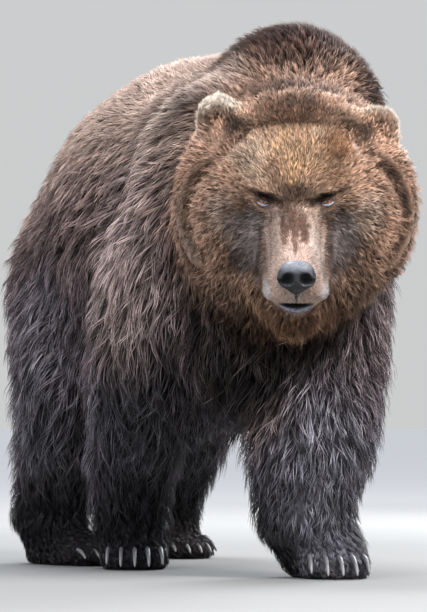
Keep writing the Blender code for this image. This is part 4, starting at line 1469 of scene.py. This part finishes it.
def coatGroup(root, rootShares, rootOwner):
    # which coat piece each strand belongs to
    kind = rootShares.argmax(axis=1)
    onHead = np.where(toHead(root)[:, 0] > 0, "left", "right")
    onBody = np.where(root[:, 0] - bodyMiddle > 0, "left", "right")
    names = np.empty(len(root), dtype=object)
    for number, name in enumerate(kindNames):
        rows = kind == number
        if name in headPieces:
            names[rows] = np.char.add(headPieces[name], onHead)[rows]
        else:
            names[rows] = np.char.add(bodyPieces.get(name, "coat_flank_"), onBody)[rows]
    for end, side in itertools.product(ends, sides):
        leg = [number for number, node in enumerate(fleshNodes) if end in node and side in node]
        names[np.isin(rootOwner, leg)] = f"coat_{end}_leg_{side}"
    return names


def makeCoat():
    data, value, bends, keep, pointAt = growCoat()
    material = coatMaterial()
    names = coatGroup(data["root"], data["shares"], data["owner"])
    for name in sorted(set(names[keep])):
        mine = keep & (names == name)
        blocks = []
        for joints in bladeCost:
            rows = np.flatnonzero(mine & (bends == joints))
            if len(rows):
                blocks.append(weaveStrands(data, value, pointAt, rows, joints))
        piece = buildCoat(name, blocks, material)


layOnSkin()
makeCoat()
print("coat grown")


# eyes: a ball with a clear bulge, and a damp rim round each slit

def lookAtView(side):
    # the axes of an eye that looks at the viewer: -Y along its sight
    sight = (viewpoint.location - middle(f"eye_{side}")).normalized()
    return np.array(sight.to_track_quat("-Y", "Z").to_matrix())


def makeEye(side):
    axes = lookAtView(side)
    centre = np.array(middle(f"eye_{side}"))
    ball = bmesh.new()
    bmesh.ops.create_uvsphere(ball, u_segments=48, v_segments=32, radius=eyeBuild["radius"])
    bmesh.ops.rotate(ball, verts=ball.verts, matrix=Matrix.Rotation(math.radians(90), 3, "X"))
    for vertex in ball.verts:
        away = math.hypot(vertex.co.x, vertex.co.z) / eyeBuild["iris"]
        if vertex.co.y < 0 and away < 1.15:
            vertex.co.y -= eyeBuild["bulge"] * (1 - (away / 1.15) ** 2) ** 2
        vertex.co = Vector(axes @ np.array(vertex.co) + centre)
    mesh = toMesh(ball, f"eyeball_{side}")
    rows = np.array([(vertex.co - Vector(centre)) for vertex in mesh.vertices]) @ axes
    setMarks(mesh, "sight", "FLOAT_VECTOR", rows)
    mesh.materials.append(eyeMaterial())
    piece = addPiece(mesh.name, mesh)
    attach(piece, "root")
    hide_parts(f"eye_{side}")


def eyeMaterial():
    constants = {"Roughness": 0.06, "Specular IOR Level": 0.6, "Coat Weight": 1.0, "Coat Roughness": 0.03}
    material, wire, shader = finish("eye", constants)
    sight = wire.attribute("sight", 1)
    x, z = sight.part("X"), sight.part("Z")
    away = (x * x + z * z) ** 0.5
    threads = wire.noise(wire.stretch(sight, (1.0, 0.2, 1.0)), 900.0, 3.0)
    inner = colour(*eyeBuild["irisInner"])
    outer = colour(*eyeBuild["irisOuter"])
    iris = wire.blend(inner, outer, away.between(eyeBuild["iris"] * 0.45, eyeBuild["iris"] * 0.95))
    iris = wire.scaled(iris, 0.6 + 0.9 * threads)
    pupil = 1 - away.between(eyeBuild["pupil"] * 0.88, eyeBuild["pupil"] * 1.12)
    ring = away.between(eyeBuild["iris"] * 0.93, eyeBuild["iris"] * 1.06)
    tint = wire.blend(iris, colour(*eyeBuild["pupilTint"]), pupil)
    tint = wire.blend(tint, colour(*eyeBuild["ballTint"]), ring)
    connect(wire, shader, Base_Color=tint)
    return material


def makeTube(name, points, widths, closed, material, sidesRound=3):
    # a round strip along the points, as thick at each as its width says
    curve = bpy.data.curves.new(name, "CURVE")
    curve.dimensions = "3D"
    curve.bevel_depth = 1.0
    curve.bevel_resolution = sidesRound
    curve.use_fill_caps = True
    curve.resolution_u = 1
    spline = curve.splines.new("POLY")
    spline.points.add(len(points) - 1)
    for spot, place, width in zip(spline.points, points, widths):
        spot.co = (*place, 1)
        spot.radius = width
    spline.use_cyclic_u = closed
    holder = bpy.data.objects.new(name, curve)
    scene.collection.objects.link(holder)
    bpy.context.view_layer.update()
    mesh = bpy.data.meshes.new_from_object(holder.evaluated_get(bpy.context.evaluated_depsgraph_get()))
    bpy.data.objects.remove(holder)
    mesh.name = name
    mesh.materials.clear()
    mesh.materials.append(material)
    piece = addPiece(name, mesh)
    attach(piece, "root")


def rimMaterial():
    # dark above; pale and bluish along the lower lid, a painted glint of light on its damp rim
    material, wire, shader = finish("lid_rim", {"Roughness": 0.22, "Specular IOR Level": 0.6})
    place = wire.objectPlace()
    height = place.part("Z") - (betweenEyes.z - 0.0015)
    lower = 1 - height.between(-0.003, 0.003)
    blotch = wire.noise(place, 420.0).between(0.35, 0.7)
    pale = wire.blend(*(colour(*tint) for tint in eyeBuild["lowerLidGlint"]), blotch)
    connect(wire, shader, Base_Color=wire.blend(colour(*eyeBuild["rimUpper"]), pale, lower))
    return material


def makeRims():
    material = rimMaterial()
    for side in sides:
        points = rimLoop(side)
        count = len(points)
        below = [max(0.0, -math.sin(2 * math.pi * step / count)) for step in range(count)]
        widths = [eyeBuild["rimThin"] + eyeBuild["rimSwell"] * share for share in below]
        makeTube(f"lid_rim_{side}", points, widths, True, material)


for side in sides:
    makeEye(side)
makeRims()
print("eyes set")


# nose leather: the solid pad made fine, with the groove, rolled nostrils and grain

noseBuild = {
    "swell": 0.0004,  # it stands this much proud of the solid pad
    "grain": 0.0016,
    "rounds": 5,  # of smoothing
    "top": ((0.170, 0.178, 0.205), (0.095, 0.098, 0.115)),  # its top plane's tint, paler and bluish as a painted reflection of the sky, and that of its clouds
    "front": ((0.006, 0.006, 0.007), (0.018, 0.018, 0.022)),
    "nostril": (0.004, 0.004, 0.005),
}
noseShapes = [
    push((0, -0.215, -0.126), (0.0055, 0.030, 0.026), (0, 0.0050, 0)),
    push((0.0190, -0.214, -0.091), (0.0175, 0.028, 0.0175), (0, 0.0175, 0), mirror=True),
    push((0.0340, -0.202, -0.098), (0.0150, 0.026, 0.0085), (0, 0.0120, 0), mirror=True),
    push((0.0180, -0.206, -0.070), (0.0210, 0.022, 0.0110), (0, -0.0025, 0.001), mirror=True),
]


def noseMaterial():
    material, wire, shader = finish("nose_leather", {"Specular IOR Level": 0.42, "Coat Roughness": 0.12})
    place = wire.objectPlace()
    settings = {"feature": "DISTANCE_TO_EDGE"}
    cells = wire.make("ShaderNodeTexVoronoi", settings, {"Vector": place, "Scale": 420.0})
    pores = wire.noise(place, 900.0, 2.0)
    grain = cells.between(0.0, 0.35) + 0.35 * pores
    cloud = wire.noise(place, 60.0, 3.0).between(0.3, 0.7)
    # the top plane lighter and bluish, the front near black: painted reflection of the sky on the top
    level = wire.attribute("level", 2)
    top = wire.blend(*(colour(*tint) for tint in noseBuild["top"]), cloud)
    front = wire.blend(*(colour(*tint) for tint in noseBuild["front"]), cloud)
    tint = wire.blend(front, top, level)
    leather = wire.attribute("open", 2)
    tint = wire.blend(tint, colour(*noseBuild["nostril"]), 1 - leather)
    wet = wire.noise(place, 130.0, 2.0).between(0.45, 0.65)
    connect(wire, shader, Base_Color=tint, Roughness=0.95 - (0.49 + 0.2 * wet) * leather,
            Coat_Weight=0.3 * wet * leather, Normal=wire.bump(grain, 0.5, 0.0006))
    return material


def makeNose():
    mesh = voxelMesh(toMesh(mergedCopy("nose_pad", noseBuild["swell"]), "nose"), noseBuild["grain"])
    spots, _, joins = meshArrays(mesh)
    spots = evenOut(spots, joins, noseBuild["rounds"])
    local = toHead(spots)
    before = local.copy()
    local = pushed(local, noseShapes, 1.5)
    spots = evenOut(fromHead(local), joins, 2)
    setPlaces(mesh, spots)
    sunk = np.linalg.norm(local - before, axis=1) * (local[:, 1] > before[:, 1])
    setMarks(mesh, "open", "FLOAT", 1 - ease(0.0022, 0.0060, sunk))
    # level: the share of the top plane, which takes the painted reflection
    setMarks(mesh, "level", "FLOAT", ease(-0.081, -0.068, before[:, 2] + 0.002 * ripple(spots, 0.008, 9)))
    mesh.materials.clear()
    mesh.materials.append(noseMaterial())
    piece = addPiece("nose_leather", mesh)
    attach(piece, "root")
    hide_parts("nose_pad")


def lipMaterial():
    material, wire, shader = finish("lip", {"Specular IOR Level": 0.6, "Roughness": 0.25})
    place = wire.objectPlace()
    cloud = wire.noise(place, 160.0, 4.0).between(0.3, 0.7)
    tint = wire.blend(colour(*lipBuild["tint"]), colour(*lipBuild["clouds"]), cloud)
    connect(wire, shader, Base_Color=tint, Normal=wire.bump(wire.noise(place, 700.0), 0.4, 0.0006))
    return material


lipBuild = {
    "halfWidth": 0.038,
    "thick": 0.0056,
    "thin": 0.0012,  # at its corners
    "sag": 0.0125,
    "top": -0.1715,
    "front": -0.1625,
    "sweep": 0.010,
    "points": 21,
    "tint": (0.075, 0.075, 0.095),
    "clouds": (0.21, 0.22, 0.28),
}


def makeLip():
    points, widths = [], []
    count = lipBuild["points"]
    for step in range(count):
        across = 2 * step / (count - 1) - 1
        drop = lipBuild["sag"] * (1 - abs(across) ** 2.0)
        back = lipBuild["sweep"] * across**2 + 0.35 * drop
        local = (across * lipBuild["halfWidth"], lipBuild["front"] + back, lipBuild["top"] - drop)
        points.append(fromHead(np.array([local]))[0])
        widths.append(lipBuild["thin"] + (lipBuild["thick"] - lipBuild["thin"]) * (1 - across**2) ** 0.8)
    makeTube("lower_lip", points, widths, False, lipMaterial(), 4)


makeNose()
makeLip()
print("nose and lip made")


# claws: the solid claws made round, in horn

clawBuild = {
    "levels": 2,
    "swell": 0.0009,
    "root": (0.085, 0.085, 0.095),
    "tip": (0.34, 0.33, 0.32),
    "clouds": (0.06, 0.058, 0.062),
}


def clawMaterial():
    material, wire, shader = finish("claw_horn", {"Specular IOR Level": 0.5})
    place = wire.objectPlace()
    cloud = wire.noise(wire.stretch(place, (1.0, 1.0, 0.25)), 240.0, 4.0)
    low = 1 - place.part("Z").between(0.004, 0.05)
    tint = wire.blend(colour(*clawBuild["root"]), colour(*clawBuild["tip"]), low * 0.75 + 0.25 * cloud)
    tint = wire.blend(tint, colour(*clawBuild["clouds"]), cloud.between(0.50, 0.80) * 0.7)
    streaks = wire.noise(wire.stretch(place, (1.0, 1.0, 0.12)), 900.0, 2.0)
    rough = 0.30 + 0.2 * cloud
    connect(wire, shader, Base_Color=tint, Roughness=rough, Normal=wire.bump(streaks, 0.3, 0.0005))
    return material


def makeClaws():
    material = clawMaterial()
    for node in claws:
        mesh = toMesh(mergedCopy(node, clawBuild["swell"]), "horn_" + node)
        mesh.materials.append(material)
        piece = addPiece(mesh.name, mesh)
        smooth = piece.modifiers.new("smooth", "SUBSURF")
        smooth.levels = clawBuild["levels"]
        smooth.render_levels = clawBuild["levels"]
        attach(piece, "root")
        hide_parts(node)


makeClaws()
print("claws made")
